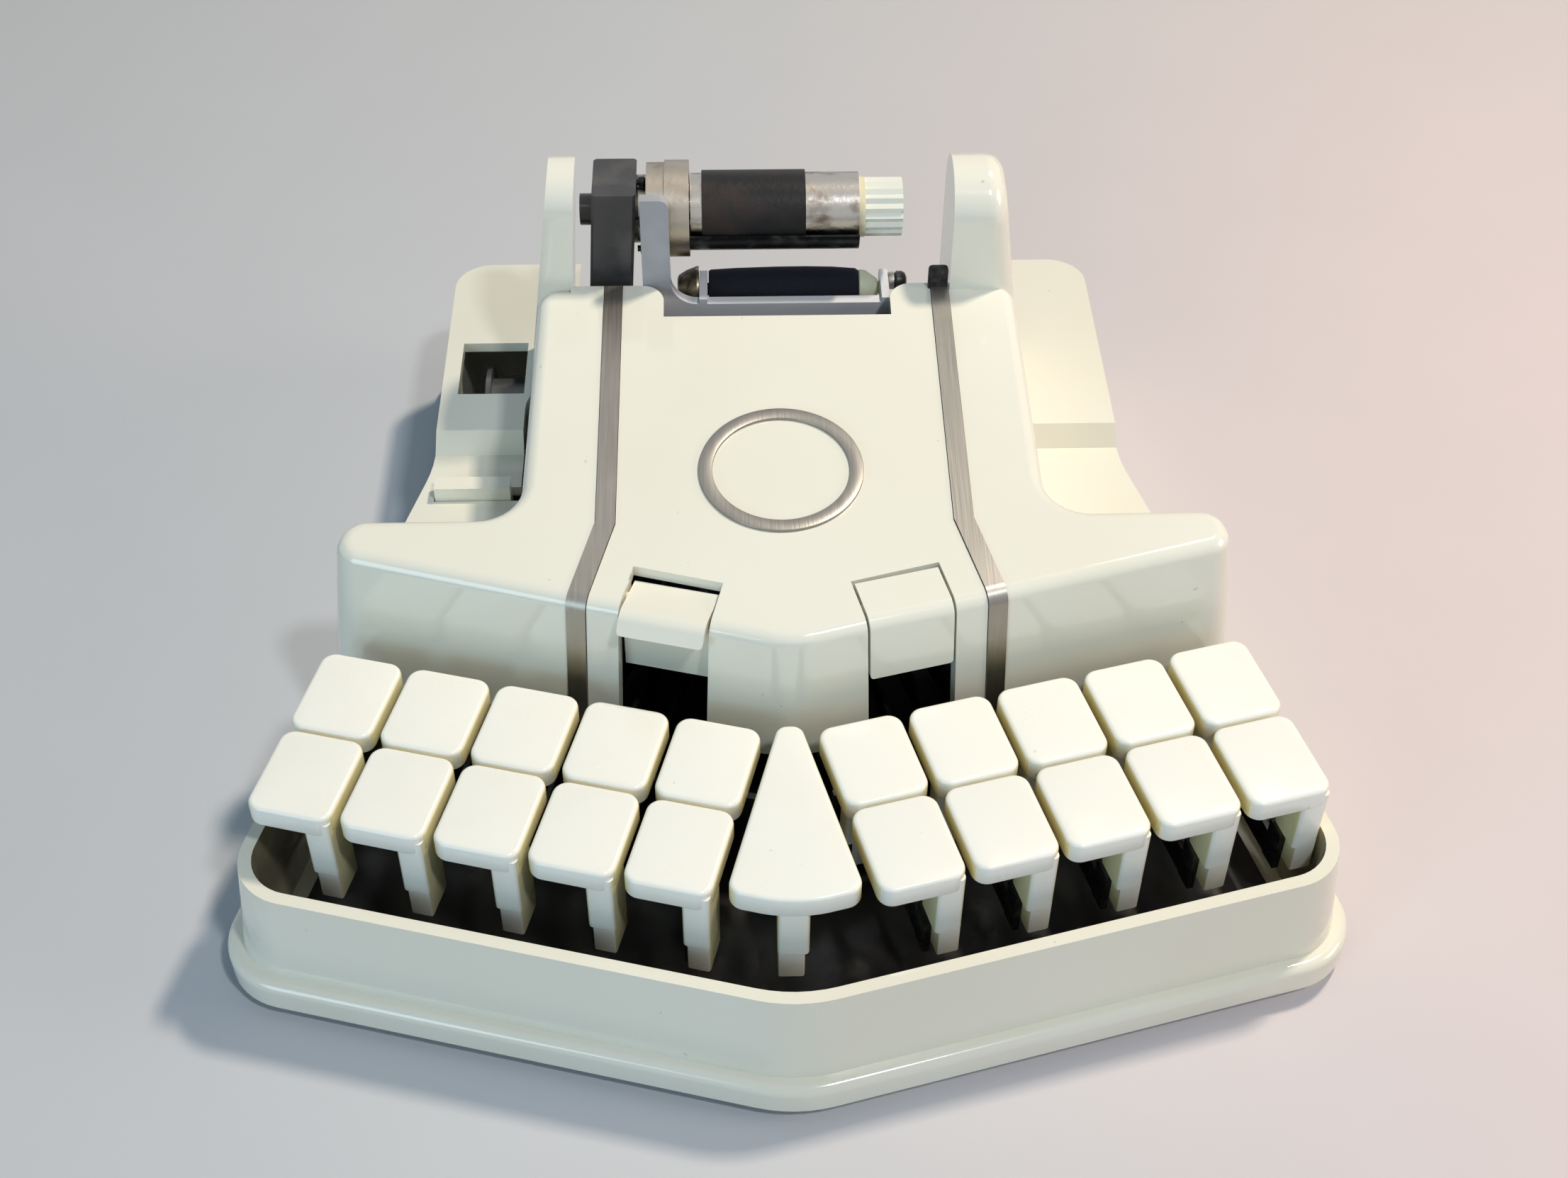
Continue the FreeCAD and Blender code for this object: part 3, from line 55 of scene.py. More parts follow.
# The lower case is one moulding in cream gloss plastic: a flange, drafted walls round the key
# tray, and two closed pods at the back. It came out of a polished mould, so its faces are
# glossy and very slightly wavy, and years of use have yellowed it unevenly.


class Sum:
    """Wraps a node's output socket, so that it takes part in ordinary sums."""

    def __init__(self, finish, socket):
        self.finish = finish
        self.socket = socket

    def math(self, operation, first, second):
        made = self.finish.tree.nodes.new("ShaderNodeMath")
        made.operation = operation
        self.finish.feed(made.inputs[0], first)
        self.finish.feed(made.inputs[1], second)
        return Sum(self.finish, made.outputs[0])

    def __add__(self, other):
        return self.math("ADD", self, other)

    def __sub__(self, other):
        return self.math("SUBTRACT", self, other)

    def __rsub__(self, other):
        return self.math("SUBTRACT", other, self)

    def __mul__(self, other):
        return self.math("MULTIPLY", self, other)

    def between(self, low, high):
        """0 below the low value, 1 above the high one, and a smooth rise between."""
        return self.finish.node("ShaderNodeMapRange", {"interpolation_type": "SMOOTHSTEP"},
                                {"Value": self, "From Min": low, "From Max": high})


class Finish:
    """A material on the Principled shader, and the nodes that vary it."""

    def __init__(self, name, **looks):
        self.material = bpy.data.materials.new(name)
        self.material.use_nodes = True
        self.tree = self.material.node_tree
        self.shader = self.tree.nodes["Principled BSDF"]
        for socket, value in looks.items():
            self.set(socket.replace("_", " "), value)

    def feed(self, socket, value):
        if isinstance(value, Sum):
            self.tree.links.new(value.socket, socket)
        else:
            socket.default_value = value

    def set(self, socket, value):
        self.feed(self.shader.inputs[socket], value)

    def node(self, kind, settings=None, inputs=None, output=0):
        """Adds a node: its settings are made first, then its sockets are filled."""
        made = self.tree.nodes.new(kind)
        for name, setting in (settings or {}).items():
            setattr(made, name, setting)
        for name, value in (inputs or {}).items():
            self.feed(made.inputs[name], value)
        return Sum(self, made.outputs[output])

    def spot(self, axis=None):
        """The place on the piece, in metres, or one axis of it."""
        place = self.node("ShaderNodeTexCoord", output="Object")
        if axis is None:
            return place
        return self.node("ShaderNodeSeparateXYZ", inputs={"Vector": place}, output=axis)

    def facing(self, axis):
        """How far the face looks along one axis, from -1 to 1."""
        way = self.node("ShaderNodeNewGeometry", output="True Normal")
        return self.node("ShaderNodeSeparateXYZ", inputs={"Vector": way}, output=axis)

    def cloud(self, scale, detail=2.0, stretch=None):
        """Soft noise from 0 to 1 with so many lumps to the metre."""
        place = self.spot()
        if stretch:
            place = self.node("ShaderNodeMapping", inputs={"Vector": place, "Scale": stretch})
        return self.node("ShaderNodeTexNoise",
                         inputs={"Vector": place, "Scale": scale, "Detail": detail})

    def blend(self, share, first, second):
        """A colour between two, by a share from 0 to 1."""
        mixed = self.node("ShaderNodeMix", {"data_type": "RGBA"}, output=2)
        sockets = mixed.socket.node.inputs
        self.feed(sockets[0], share)
        for place, colour in ((6, first), (7, second)):
            self.feed(sockets[place], colour if isinstance(colour, Sum) else (*colour, 1))
        return mixed

    def colour(self):
        """The base colour as it has been made so far."""
        return Sum(self, self.shader.inputs["Base Color"].links[0].from_socket)

    def bump(self, height, depth):
        """Raises the surface by the height, which runs from 0 to 1, times the depth in metres."""
        self.set("Normal", self.node("ShaderNodeBump",
                                     inputs={"Height": height, "Distance": depth}))


def cream_plastic(name, pale, yellow, roughness):
    """Gloss plastic that has yellowed in patches and carries a few specks of dirt."""
    finish = Finish(name, Specular_IOR_Level=0.5, Coat_Weight=0.5, Coat_Roughness=0.06)
    age = finish.cloud(14, 3).between(0.35, 0.7)
    dirty = finish.cloud(40, 1).between(0.5, 0.6)
    specks = finish.cloud(480, 1).between(0.77, 0.79) * dirty
    tone = finish.blend(age, pale, yellow)
    finish.set("Base Color", finish.blend(specks * 0.35, tone, (0.32, 0.27, 0.18)))
    rub = finish.cloud(170, 4)
    finish.set("Roughness", rub * 0.10 + (roughness - 0.05))
    finish.bump(finish.cloud(30, 1), 0.00014)
    return finish


def dress(node, finish, angle=32):
    """Welds and softly shades a CAD solid as it is drawn, and gives it a finish."""
    piece = nodes[node]
    piece.data.materials.clear()
    piece.data.materials.append(finish.material)
    piece.data.shade_smooth()
    weld = piece.modifiers.new("weld", "WELD")
    weld.merge_threshold = 0.002 * MM
    split = piece.modifiers.new("split", "EDGE_SPLIT")
    split.split_angle = math.radians(angle)
    weigh = piece.modifiers.new("weigh", "WEIGHTED_NORMAL")
    weigh.weight = 80


case_plastic = cream_plastic("case_plastic", (0.81, 0.785, 0.68), (0.78, 0.745, 0.62), 0.15)

# The inside of the tray's walls is painted a mottled dark brown. This is painted shade and a
# painted reflection of the dark chassis below. Those walls are found by where they are and which
# way they face.
TRAY_SIDE, TRAY_FRONT, SHADE_EDGE = 90 * MM, -52 * MM, 2 * MM
across, along = case_plastic.spot(0), case_plastic.spot(1)
on_left = 1 - across.between(-TRAY_SIDE - SHADE_EDGE, -TRAY_SIDE)
on_right = across.between(TRAY_SIDE, TRAY_SIDE + SHADE_EDGE)
in_front = 1 - along.between(TRAY_FRONT, TRAY_FRONT + SHADE_EDGE)
left_wall = case_plastic.facing(0).between(0.2, 0.5) * on_left
right_wall = (1 - case_plastic.facing(0).between(-0.5, -0.2)) * on_right
front_wall = case_plastic.facing(1).between(0.2, 0.5) * in_front
inner = (left_wall + right_wall + front_wall).between(0, 1)
wall_shade_mottle = case_plastic.cloud(55, 4).between(0.3, 0.7)
painted_shade_tone = case_plastic.blend(wall_shade_mottle, (0.17, 0.13, 0.06), (0.40, 0.33, 0.19))
case_plastic.set("Base Color", case_plastic.blend(inner * 0.85, case_plastic.colour(),
                                                  painted_shade_tone))
dress("lower_case", case_plastic)

# The chassis is pressed steel sheet in black stove enamel. It fills the key tray, and its comb
# guides the levers. Dust has settled on it.
enamel = Finish("black_enamel")
dust = enamel.cloud(60, 5).between(0.45, 0.75)
enamel.set("Base Color", enamel.blend(dust, (0.008, 0.008, 0.009), (0.030, 0.024, 0.022)))
enamel.set("Roughness", dust * 0.35 + 0.28)
enamel.bump(enamel.cloud(500, 3), 0.00005)
dress("chassis", enamel)

# The key levers are steel strips on edge, blackened in oil, one under each key. They turn on one
# ground steel shaft, and small bright springs on it push the keys back up.
oiled = Finish("oil_blacked_steel", Metallic=0.7)
wear = oiled.cloud(260, 4, (1, 0.3, 1)).between(0.5, 0.8)
oiled.set("Base Color", oiled.blend(wear, (0.020, 0.021, 0.024), (0.10, 0.095, 0.09)))
oiled.set("Roughness", wear * 0.15 + 0.27)
bright = Finish("ground_steel", Metallic=1.0)
streaks = bright.cloud(300, 3, (0.1, 4, 4))
bright.set("Base Color", bright.blend(streaks, (0.30, 0.29, 0.27), (0.52, 0.50, 0.47)))
bright.set("Roughness", streaks * 0.2 + 0.22)
for node in nodes:
    if node.startswith("lever_"):
        dress(node, oiled)
dress("key_shaft", bright)
dress("return_springs", bright)

# Twenty flat key caps in hard ivory plastic: a plate with a soft rim and a hollow under it, and a
# stem that the lever's clip grips. Each row has its own mould. The tops and fronts are painted pale
# and the sides a deeper yellow. This is painted light and shade, chosen by which way each face
# looks.
CAP_WIDTH, CAP_LENGTH, CAP_THICK, CAP_CORNER = 17 * MM, 20.5 * MM, 5 * MM, 3 * MM
CAP_RIM, CAP_EASE, CAP_WALL, CAP_HOLLOW = 0.95 * MM, 0.5 * MM, 1.1 * MM, 2.6 * MM
CAP_TOP = 45 * MM
STEM_BOTTOM, STEM_BACK, CLIP_TOP = 20.5 * MM, 8.5 * MM, 28 * MM
ROW_ANGLE = math.radians(14.7)
ivory = Finish("ivory_plastic", Specular_IOR_Level=0.5)
# Painted light and shade: faces that look up or to the front get the pale tone, the sides the
# deeper yellow.
top_side = ivory.facing(2).between(0.2, 0.85)
front_side = 1 - ivory.facing(1).between(-0.85, -0.5)
lit_face_share = (top_side + front_side).between(0, 1)
smear = ivory.cloud(95, 4).between(0.4, 0.75)
top_tone = ivory.blend(smear, (0.90, 0.89, 0.82), (0.885, 0.87, 0.79))
shaded_side_tone = ivory.blend(smear, (0.84, 0.77, 0.48), (0.80, 0.71, 0.40))
grime = ivory.cloud(560, 1).between(0.79, 0.81)
body_tone = ivory.blend(lit_face_share, shaded_side_tone, top_tone)
ivory.set("Base Color", ivory.blend(grime * 0.3, body_tone, (0.40, 0.34, 0.24)))
ivory.set("Roughness", smear * 0.10 + 0.20)
ivory.bump(ivory.cloud(120, 1), 0.00003)


def deselect():
    bpy.ops.object.select_all(action="DESELECT")


def start_block(name, low, high):
    """A block in edit mode that reaches from one corner to the other."""
    deselect()
    low, high = Vector(low), Vector(high)
    bpy.ops.mesh.primitive_cube_add(size=1, enter_editmode=True, location=(0, 0, 0))
    bpy.ops.transform.resize(value=high - low)
    bpy.ops.transform.translate(value=(low + high) / 2)
    piece = bpy.context.object
    piece.name = name
    return piece


def pick(piece, kind, wanted):
    """Selects the faces or edges whose middle and direction the test wants."""
    bpy.ops.mesh.select_mode(type=kind)
    bpy.ops.mesh.select_all(action="DESELECT")
    mesh = bmesh.from_edit_mesh(piece.data)
    for part in mesh.faces if kind == "FACE" else mesh.edges:
        if kind == "FACE":
            spot, way = part.calc_center_median(), part.normal
        else:
            first, second = (corner.co for corner in part.verts)
            spot, way = (first + second) / 2, (second - first).normalized()
        if wanted(spot, way):
            part.select_set(True)
    bmesh.update_edit_mesh(piece.data)


def leave_edit():
    """Ends the editing of a piece and shades it softly between its hard edges."""
    bpy.ops.object.mode_set(mode="OBJECT")
    bpy.ops.object.shade_smooth_by_angle(angle=math.radians(40))


def finish_cap(cap):
    """Rounds the rim of a cap's plate, eases its lower edge and sinks the hollow under it."""
    pick(cap, "FACE", lambda spot, way: way.z > 0.9)
    bpy.ops.mesh.bevel(offset=CAP_RIM, segments=5, affect="EDGES")
    pick(cap, "FACE", lambda spot, way: way.z < -0.9)
    bpy.ops.mesh.bevel(offset=CAP_EASE, segments=2, affect="EDGES")
    pick(cap, "FACE", lambda spot, way: way.z < -0.99)
    bpy.ops.mesh.inset(thickness=CAP_WALL)
    bpy.ops.mesh.extrude_region_move(TRANSFORM_OT_translate={"value": (0, 0, CAP_HOLLOW)})
    bpy.ops.object.mode_set(mode="OBJECT")


def add_stem(cap, left, right, front, back, clip_side):
    """The stem under a cap, whose foot is narrower on the side of the lever's clip."""
    stem = start_block("stem", (left, front, CLIP_TOP), (right, back, CAP_TOP - 2 * MM))
    pick(stem, "EDGE", lambda spot, way: abs(way.z) > 0.9)
    bpy.ops.mesh.bevel(offset=0.9 * MM, segments=3)
    bpy.ops.object.mode_set(mode="OBJECT")
    notch, shy = 0.8 * MM, 0.1 * MM
    foot = start_block("foot", (left + (notch if clip_side < 0 else shy), front + shy, STEM_BOTTOM),
                       (right - (notch if clip_side > 0 else shy), back - shy, CLIP_TOP + MM))
    pick(foot, "EDGE", lambda spot, way: abs(way.z) > 0.9 or spot.z < STEM_BOTTOM + MM)
    bpy.ops.mesh.bevel(offset=0.5 * MM, segments=2)
    bpy.ops.object.mode_set(mode="OBJECT")
    deselect()
    for part in (stem, foot, cap):
        part.select_set(True)
    bpy.context.view_layer.objects.active = cap
    bpy.ops.object.join()
    bpy.ops.object.shade_smooth_by_angle(angle=math.radians(40))
    return cap


def flat_cap(left, right, setback):
    """One cap about its own middle, with a stem that stands back from its front edge."""
    half_x, half_y = CAP_WIDTH / 2, CAP_LENGTH / 2
    cap = start_block("cap", (-half_x, -half_y, CAP_TOP - CAP_THICK), (half_x, half_y, CAP_TOP))
    pick(cap, "EDGE", lambda spot, way: abs(way.z) > 0.9)
    bpy.ops.mesh.bevel(offset=CAP_CORNER, segments=7)
    finish_cap(cap)
    return add_stem(cap, left, right, setback - half_y, STEM_BACK - half_y, -1)


def fit_cap(cap, key):
    """Gives a cap its plastic, hangs it on its key and lets it stand for the plain one."""
    cap.data.materials.append(ivory.material)
    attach(cap, "key_" + key)
    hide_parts("cap_" + key)


patterns = {"front": flat_cap(2.8 * MM, 8.2 * MM, 0.3 * MM),
            "back": flat_cap(-7.125 * MM, -2.125 * MM, 4 * MM)}
for node in sorted(nodes):
    if node.startswith("cap_") and node != "cap_middle":
        key = node.removeprefix("cap_")
        low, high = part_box(node)
        middle = (low + high) / 2
        deselect()
        pattern = patterns[node.rsplit("_", 1)[1]]
        pattern.select_set(True)
        bpy.context.view_layer.objects.active = pattern
        bpy.ops.object.duplicate()
        cap = bpy.context.object
        cap.name = "key_top_" + key
        turn = Matrix.Rotation(ROW_ANGLE if "right" in key else -ROW_ANGLE, 4, "Z")
        cap.data.transform(Matrix.Translation((middle.x, middle.y, 0)) @ turn)
        fit_cap(cap, key)
for pattern in patterns.values():
    bpy.data.objects.remove(pattern)

# The middle cap is a wedge between the two halves of the keyboard, narrow at the back and bowed
# in front. Its front edge is drawn out at the middle before the corners are rounded.
SHOULDER, TIP = -92.46 * MM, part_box("cap_middle")[1].y
HALF_FRONT, HALF_TIP, BOW = 12.88 * MM, 2.33 * MM, 3.4 * MM
WEDGE_ROUNDINGS = (
    (6.34 * MM, lambda spot: abs(spot.x) < MM and spot.y < SHOULDER),
    (CAP_CORNER, lambda spot: abs(spot.x) > HALF_FRONT - MM),
    (1.77 * MM, lambda spot: abs(spot.x) > MM and spot.y > TIP - MM))
wedge = start_block("key_top_middle", (-HALF_FRONT, SHOULDER, CAP_TOP - CAP_THICK),
                    (HALF_FRONT, TIP, CAP_TOP))
pick(wedge, "FACE", lambda spot, way: way.y > 0.9)
bpy.ops.transform.resize(value=(HALF_TIP / HALF_FRONT, 1, 1))
bpy.ops.mesh.select_all(action="SELECT")
bpy.ops.mesh.bisect(plane_co=(0, 0, 0), plane_no=(1, 0, 0))
pick(wedge, "EDGE", lambda spot, way: abs(way.z) > 0.9 and abs(spot.x) < MM
     and spot.y < SHOULDER + MM)
bpy.ops.transform.translate(value=(0, -BOW, 0))
pick(wedge, "EDGE", lambda spot, way: abs(spot.x) < 0.01 * MM and spot.y > SHOULDER)
bpy.ops.mesh.dissolve_edges()
for round_off, wanted in WEDGE_ROUNDINGS:
    pick(wedge, "EDGE", lambda spot, way: abs(way.z) > 0.9 and wanted(spot))
    bpy.ops.mesh.bevel(offset=round_off, segments=7)
finish_cap(wedge)
add_stem(wedge, -3.3 * MM, 2.7 * MM, SHOULDER - 2.2 * MM, SHOULDER + 5.7 * MM, 1)
fit_cap(wedge, "middle")

# The upper cover is one drafted moulding in the same cream plastic, with the two posts beside
# the platen. Its top has been wiped clean and stayed a little paler than the case.
cover_plastic = cream_plastic("cover_plastic", (0.84, 0.82, 0.715), (0.81, 0.785, 0.665), 0.12)
dress("upper_cover", cover_plastic)

# Two trim strips of satin steel are pressed into grooves in the cover. They were brushed along
# their length and have dulled in patches.
brushed = Finish("brushed_trim", Metallic=1.0)
grain = brushed.cloud(900, 3, (3, 0.05, 0.05))
stain = brushed.cloud(45, 3).between(0.4, 0.8)
brushed.set("Base Color", brushed.blend(grain * 0.5 + stain * 0.4, (0.26, 0.25, 0.23),
                                        (0.40, 0.375, 0.335)))
brushed.set("Roughness", grain * 0.15 + 0.30)
brushed.bump(grain, 0.00002)
dress("trim_strips", brushed)

# At the back the right strip turns up in a short dark tongue that hooks over the cover's edge.
# Its upper corners are round and its edges are eased.
TONGUE_LEFT, TONGUE_RIGHT, TONGUE_THICK, TONGUE_RISE = 33.7 * MM, 38.1 * MM, 1.5 * MM, 5 * MM
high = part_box("trim_strips")[1]
tongue = start_block("strip_tongue", (TONGUE_LEFT, high.y - TONGUE_THICK, high.z - 1.2 * MM),
                     (TONGUE_RIGHT, high.y, high.z + TONGUE_RISE))
pick(tongue, "EDGE", lambda spot, way: abs(way.y) > 0.9 and spot.z > high.z)
bpy.ops.mesh.bevel(offset=0.9 * MM, segments=4)
pick(tongue, "FACE", lambda spot, way: abs(way.y) > 0.9)
bpy.ops.mesh.bevel(offset=0.25 * MM, segments=2, affect="EDGES")
leave_edit()
tongue.data.materials.append(oiled.material)
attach(tongue, "machine")

# A plain round ring of the same steel lies on the middle of the cover, which slopes down to the
# front. It is a flat band with softened edges, glued down.
RING_OUTER, RING_BAND, RING_THICK = 17.1 * MM, 2.9 * MM, 0.7 * MM
RING_PLACE = Vector((-0.4, 0.04, 65.13)) * MM
COVER_SLOPE = math.radians(5.7)
deselect()
bpy.ops.mesh.primitive_circle_add(vertices=144, radius=RING_OUTER, fill_type="NGON",
                                  enter_editmode=True)
ring = bpy.context.object
ring.name = "cover_ring"
bpy.ops.mesh.select_mode(type="FACE")
bpy.ops.mesh.inset(thickness=RING_BAND)
bpy.ops.mesh.delete(type="FACE")
bpy.ops.mesh.select_all(action="SELECT")
bpy.ops.mesh.extrude_region_move(TRANSFORM_OT_translate={"value": (0, 0, RING_THICK)})
bpy.ops.mesh.select_all(action="SELECT")
bpy.ops.mesh.normals_make_consistent(inside=False)
pick(ring, "EDGE", lambda spot, way: spot.z > RING_THICK / 2 and abs(way.z) < 0.5
     and abs(way.dot(Vector((spot.x, spot.y, 0)).normalized())) < 0.5)
bpy.ops.mesh.bevel(offset=0.22 * MM, segments=2)
leave_edit()
ring.data.transform(Matrix.Translation(RING_PLACE) @ Matrix.Rotation(COVER_SLOPE, 4, "X"))
ring.data.materials.append(brushed.material)
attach(ring, "machine")

# The two shift levers are cream tabs that the thumbs press, from the same plastic as the cover.
# They rock on pins in their openings.
dress("shift_lever_left", cover_plastic)
dress("shift_lever_right", cover_plastic)

# The frame plate behind the cover is die-cast and sprayed a satin grey. The bar below the arm is
# painted much paler, as painted light where it stands in shade. The ink roller turns between its
# two ears.
grey_paint = Finish("frame_paint")
mottle = grey_paint.cloud(120, 4).between(0.4, 0.75)
arm_tone = grey_paint.blend(mottle, (0.36, 0.365, 0.39), (0.43, 0.43, 0.455))
bar_painted_light = 1 - grey_paint.spot(2).between(66 * MM, 69 * MM)
grey_paint.set("Base Color", grey_paint.blend(bar_painted_light, arm_tone, (0.76, 0.75, 0.78)))
grey_paint.set("Roughness", mottle * 0.12 + 0.38)
grey_paint.bump(grey_paint.cloud(1500, 2), 0.00003)
dress("print_frame", grey_paint)

# The bearing block is a dark phosphated steel bar. A turned steel collar on its right side holds
# the platen's axle, and a short stub on the left meets the post. The collar's lower part is painted
# dark, as a painted reflection of the dark parts below it.
bearing_steel = Finish("bearing_steel")
COLLAR_START = -30.4 * MM
turned_parts = bearing_steel.spot(0).between(COLLAR_START - 0.05 * MM, COLLAR_START + 0.05 * MM)
tarnish = bearing_steel.cloud(130, 4).between(0.42, 0.72)
block_tone = bearing_steel.blend(tarnish, (0.050, 0.049, 0.052), (0.085, 0.080, 0.078))
collar_tone = bearing_steel.blend(tarnish, (0.42, 0.38, 0.32), (0.26, 0.22, 0.18))
collar_underside_shade = 1 - bearing_steel.spot(2).between(74 * MM, 80 * MM)
collar_tone = bearing_steel.blend(collar_underside_shade * 0.85, collar_tone, (0.045, 0.036, 0.030))
bearing_steel.set("Base Color", bearing_steel.blend(turned_parts, block_tone, collar_tone))
bearing_steel.set("Metallic", turned_parts * 0.65 + 0.3)
bearing_steel.set("Roughness", tarnish * 0.15 + 0.34)
bearing_steel.bump(bearing_steel.cloud(600, 3), 0.00004)
dress("bearing_block", bearing_steel)

# The platen is a steel drum on an axle, its lower side painted blue-black as a painted reflection
# of the dark machine under it. Most of its length wears a dark rubber sleeve, and a fluted cream
# knob is pressed on its right end and glued.
drum_steel = Finish("drum_steel", Metallic=1.0)
rust = drum_steel.cloud(150, 5, (1, 1.6, 1.6)).between(0.45, 0.68)
drum_underside_shade = 1 - drum_steel.spot(2).between(79 * MM, 83.5 * MM)
worn_steel = drum_steel.blend(rust, (0.50, 0.47, 0.43), (0.17, 0.135, 0.11))
drum_steel.set("Base Color", drum_steel.blend(drum_underside_shade * 0.85, worn_steel, (0.035, 0.045, 0.055)))
drum_steel.set("Roughness", rust * 0.25 + 0.24)
drum_steel.bump(drum_steel.cloud(900, 3), 0.00004)
sleeve_rubber = Finish("sleeve_rubber", Specular_IOR_Level=0.22)
print_wear = sleeve_rubber.cloud(110, 5, (0.6, 1, 1)).between(0.42, 0.72)
sleeve_rubber.set("Base Color", sleeve_rubber.blend(print_wear, (0.010, 0.010, 0.011),
                                                    (0.034, 0.022, 0.020)))
sleeve_rubber.set("Roughness", print_wear * 0.2 + 0.42)
sleeve_rubber.bump(sleeve_rubber.cloud(800, 4), 0.00008)
knob_plastic = cream_plastic("knob_plastic", (0.86, 0.85, 0.76), (0.84, 0.82, 0.70), 0.24)
glue_line = 1 - knob_plastic.spot(0).between(19.7 * MM, 20.1 * MM)
knob_plastic.set("Base Color", knob_plastic.blend(glue_line, knob_plastic.colour(),
                                                  (0.80, 0.73, 0.50)))
dress("platen_drum", drum_steel)
dress("platen_sleeve", sleeve_rubber)
dress("platen_knob", knob_plastic, 25)

# The paper guide is a bent sheet of the levers' blackened steel. It lies under the platen and
# leads the tape up to it.
dress("paper_guide", oiled)

# The ink roller is a felt roll on a spindle, crowned from long use and soaked with dark ink. A
# cream cone closes it on the right.
AXLE_Y, AXLE_Z = 65.24 * MM, 62.6 * MM


def turned(name, place_y, place_z, profile, sides=40):
    """A turned piece along X: a disc is drawn out from one station of its profile to the next."""
    deselect()
    (place, radius), *rest = profile
    bpy.ops.mesh.primitive_circle_add(vertices=sides, radius=radius, fill_type="NGON",
                                      enter_editmode=True)
    piece = bpy.context.object
    piece.name = name
    bpy.ops.transform.rotate(value=math.pi / 2, orient_axis="Y", center_override=(0, 0, 0))
    bpy.ops.transform.translate(value=(place, place_y, place_z))
    for station, size in rest:
        bpy.ops.mesh.extrude_region_move(TRANSFORM_OT_translate={"value": (station - place, 0, 0)})
        bpy.ops.transform.resize(value=(1, size / radius, size / radius),
                                 center_override=(station, place_y, place_z))
        place, radius = station, size
    bpy.ops.mesh.select_all(action="SELECT")
    bpy.ops.mesh.normals_make_consistent(inside=False)
    bpy.ops.object.mode_set(mode="OBJECT")
    bpy.ops.object.shade_smooth_by_angle(angle=math.radians(32))
    return piece


def in_mm(*stations):
    """A profile of places along X and radii, given in millimetres."""
    return [(place * MM, size * MM) for place, size in stations]


ink_felt = Finish("ink_felt", Specular_IOR_Level=0.2)
cone = ink_felt.spot(0).between(18.95 * MM, 19.05 * MM)
nap = ink_felt.cloud(1400, 4)
felt_tone = ink_felt.blend(nap, (0.005, 0.006, 0.011), (0.013, 0.014, 0.022))
ink_felt.set("Base Color", ink_felt.blend(cone, felt_tone, (0.72, 0.70, 0.52)))
ink_felt.set("Roughness", 0.8 - cone * 0.45)
ink_felt.bump(nap * (1 - cone), 0.00012)
roller = turned("ink_felt_roll", AXLE_Y, AXLE_Z, in_mm(
    (-17.3, 1.45), (-15.2, 1.45), (-15.2, 4.1), (-14.7, 4.45), (-9, 4.75), (0, 4.97),
    (7, 5.0), (13, 4.85), (18.3, 4.45), (18.9, 4.0), (19.0, 3.9), (19.2, 4.15), (20.6, 4.0),
    (23.0, 2.3), (23.3, 2.0), (23.3, 1.45), (25.4, 1.45), (25.6, 1.2)))
roller.data.materials.append(ink_felt.material)
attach(roller, "ink_roller")
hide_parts("ink_roller")

# A turned brass cheek stands at the roller's left end and doesn't turn with it. It is old and
# stained with ink.
old_brass = Finish("old_brass", Metallic=0.8)
ink_stain = old_brass.cloud(420, 4).between(0.35, 0.6)
old_brass.set("Base Color", old_brass.blend(ink_stain, (0.36, 0.29, 0.20), (0.07, 0.055, 0.04)))
old_brass.set("Roughness", ink_stain * 0.2 + 0.3)
cheek = turned("roller_cheek", AXLE_Y, AXLE_Z, in_mm(
    (-22.3, 2.6), (-22.0, 3.3), (-20.2, 4.4), (-18.3, 5.1), (-17.9, 5.3), (-17.45, 5.2),
    (-17.45, 2.2)))
cheek.data.materials.append(old_brass.material)
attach(cheek, "machine")

# A steel sleeve and a round-headed black screw sit on the frame's right ear, just above the end
# of the roller's axle.
SCREW_Y, SCREW_Z = 64.7 * MM, 64.9 * MM
axle_sleeve = turned("axle_sleeve", SCREW_Y, SCREW_Z, in_mm(
    (25.65, 1.5), (25.7, 1.9), (26.0, 2.0), (27.0, 2.0), (27.2, 1.8), (27.2, 1.2)))
axle_sleeve.data.materials.append(bright.material)
axle_screw = turned("axle_screw", SCREW_Y, SCREW_Z, in_mm(
    (27.2, 1.3), (27.3, 1.9), (27.6, 2.2), (28.8, 2.2), (29.5, 1.8), (29.9, 0.9)))
axle_screw.data.materials.append(enamel.material)
for piece in (axle_sleeve, axle_screw):
    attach(piece, "machine")

# Three screws hold the collar to the bearing block. Their round heads lie in the gap between
# the two, on a circle about the platen's axle.
COLLAR_Y, COLLAR_Z, SCREW_CIRCLE = 69.64 * MM, 81.8 * MM, 8.9 * MM
SCREW_HEAD = in_mm((-30.9, 0.7), (-30.2, 0.7), (-30.2, 1.2), (-29.2, 1.3), (-28.7, 0.9),
                   (-28.6, 0.6))
for number, turn in enumerate((15, 75, 135), 1):
    reach = math.radians(turn)
    screw = turned("collar_screw_%d" % number, COLLAR_Y - SCREW_CIRCLE * math.sin(reach),
                   COLLAR_Z + SCREW_CIRCLE * math.cos(reach), SCREW_HEAD, 20)
    screw.data.materials.append(oiled.material)
    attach(screw, "machine")

# The release key is a small cream push key in its slot on the left deck. The paper spool is a
# sprayed drum behind the window of the left pod.
dress("release_key", cream_plastic("release_plastic", (0.86, 0.84, 0.72), (0.82, 0.79, 0.64),
                                   0.26))
spool_paint = Finish("spool_paint", Metallic=0.4)
scuff = spool_paint.cloud(180, 4, (0.3, 1, 1)).between(0.45, 0.75)
spool_paint.set("Base Color", spool_paint.blend(scuff, (0.10, 0.105, 0.11), (0.17, 0.17, 0.17)))
spool_paint.set("Roughness", scuff * 0.2 + 0.35)
dress("paper_spool", spool_paint)

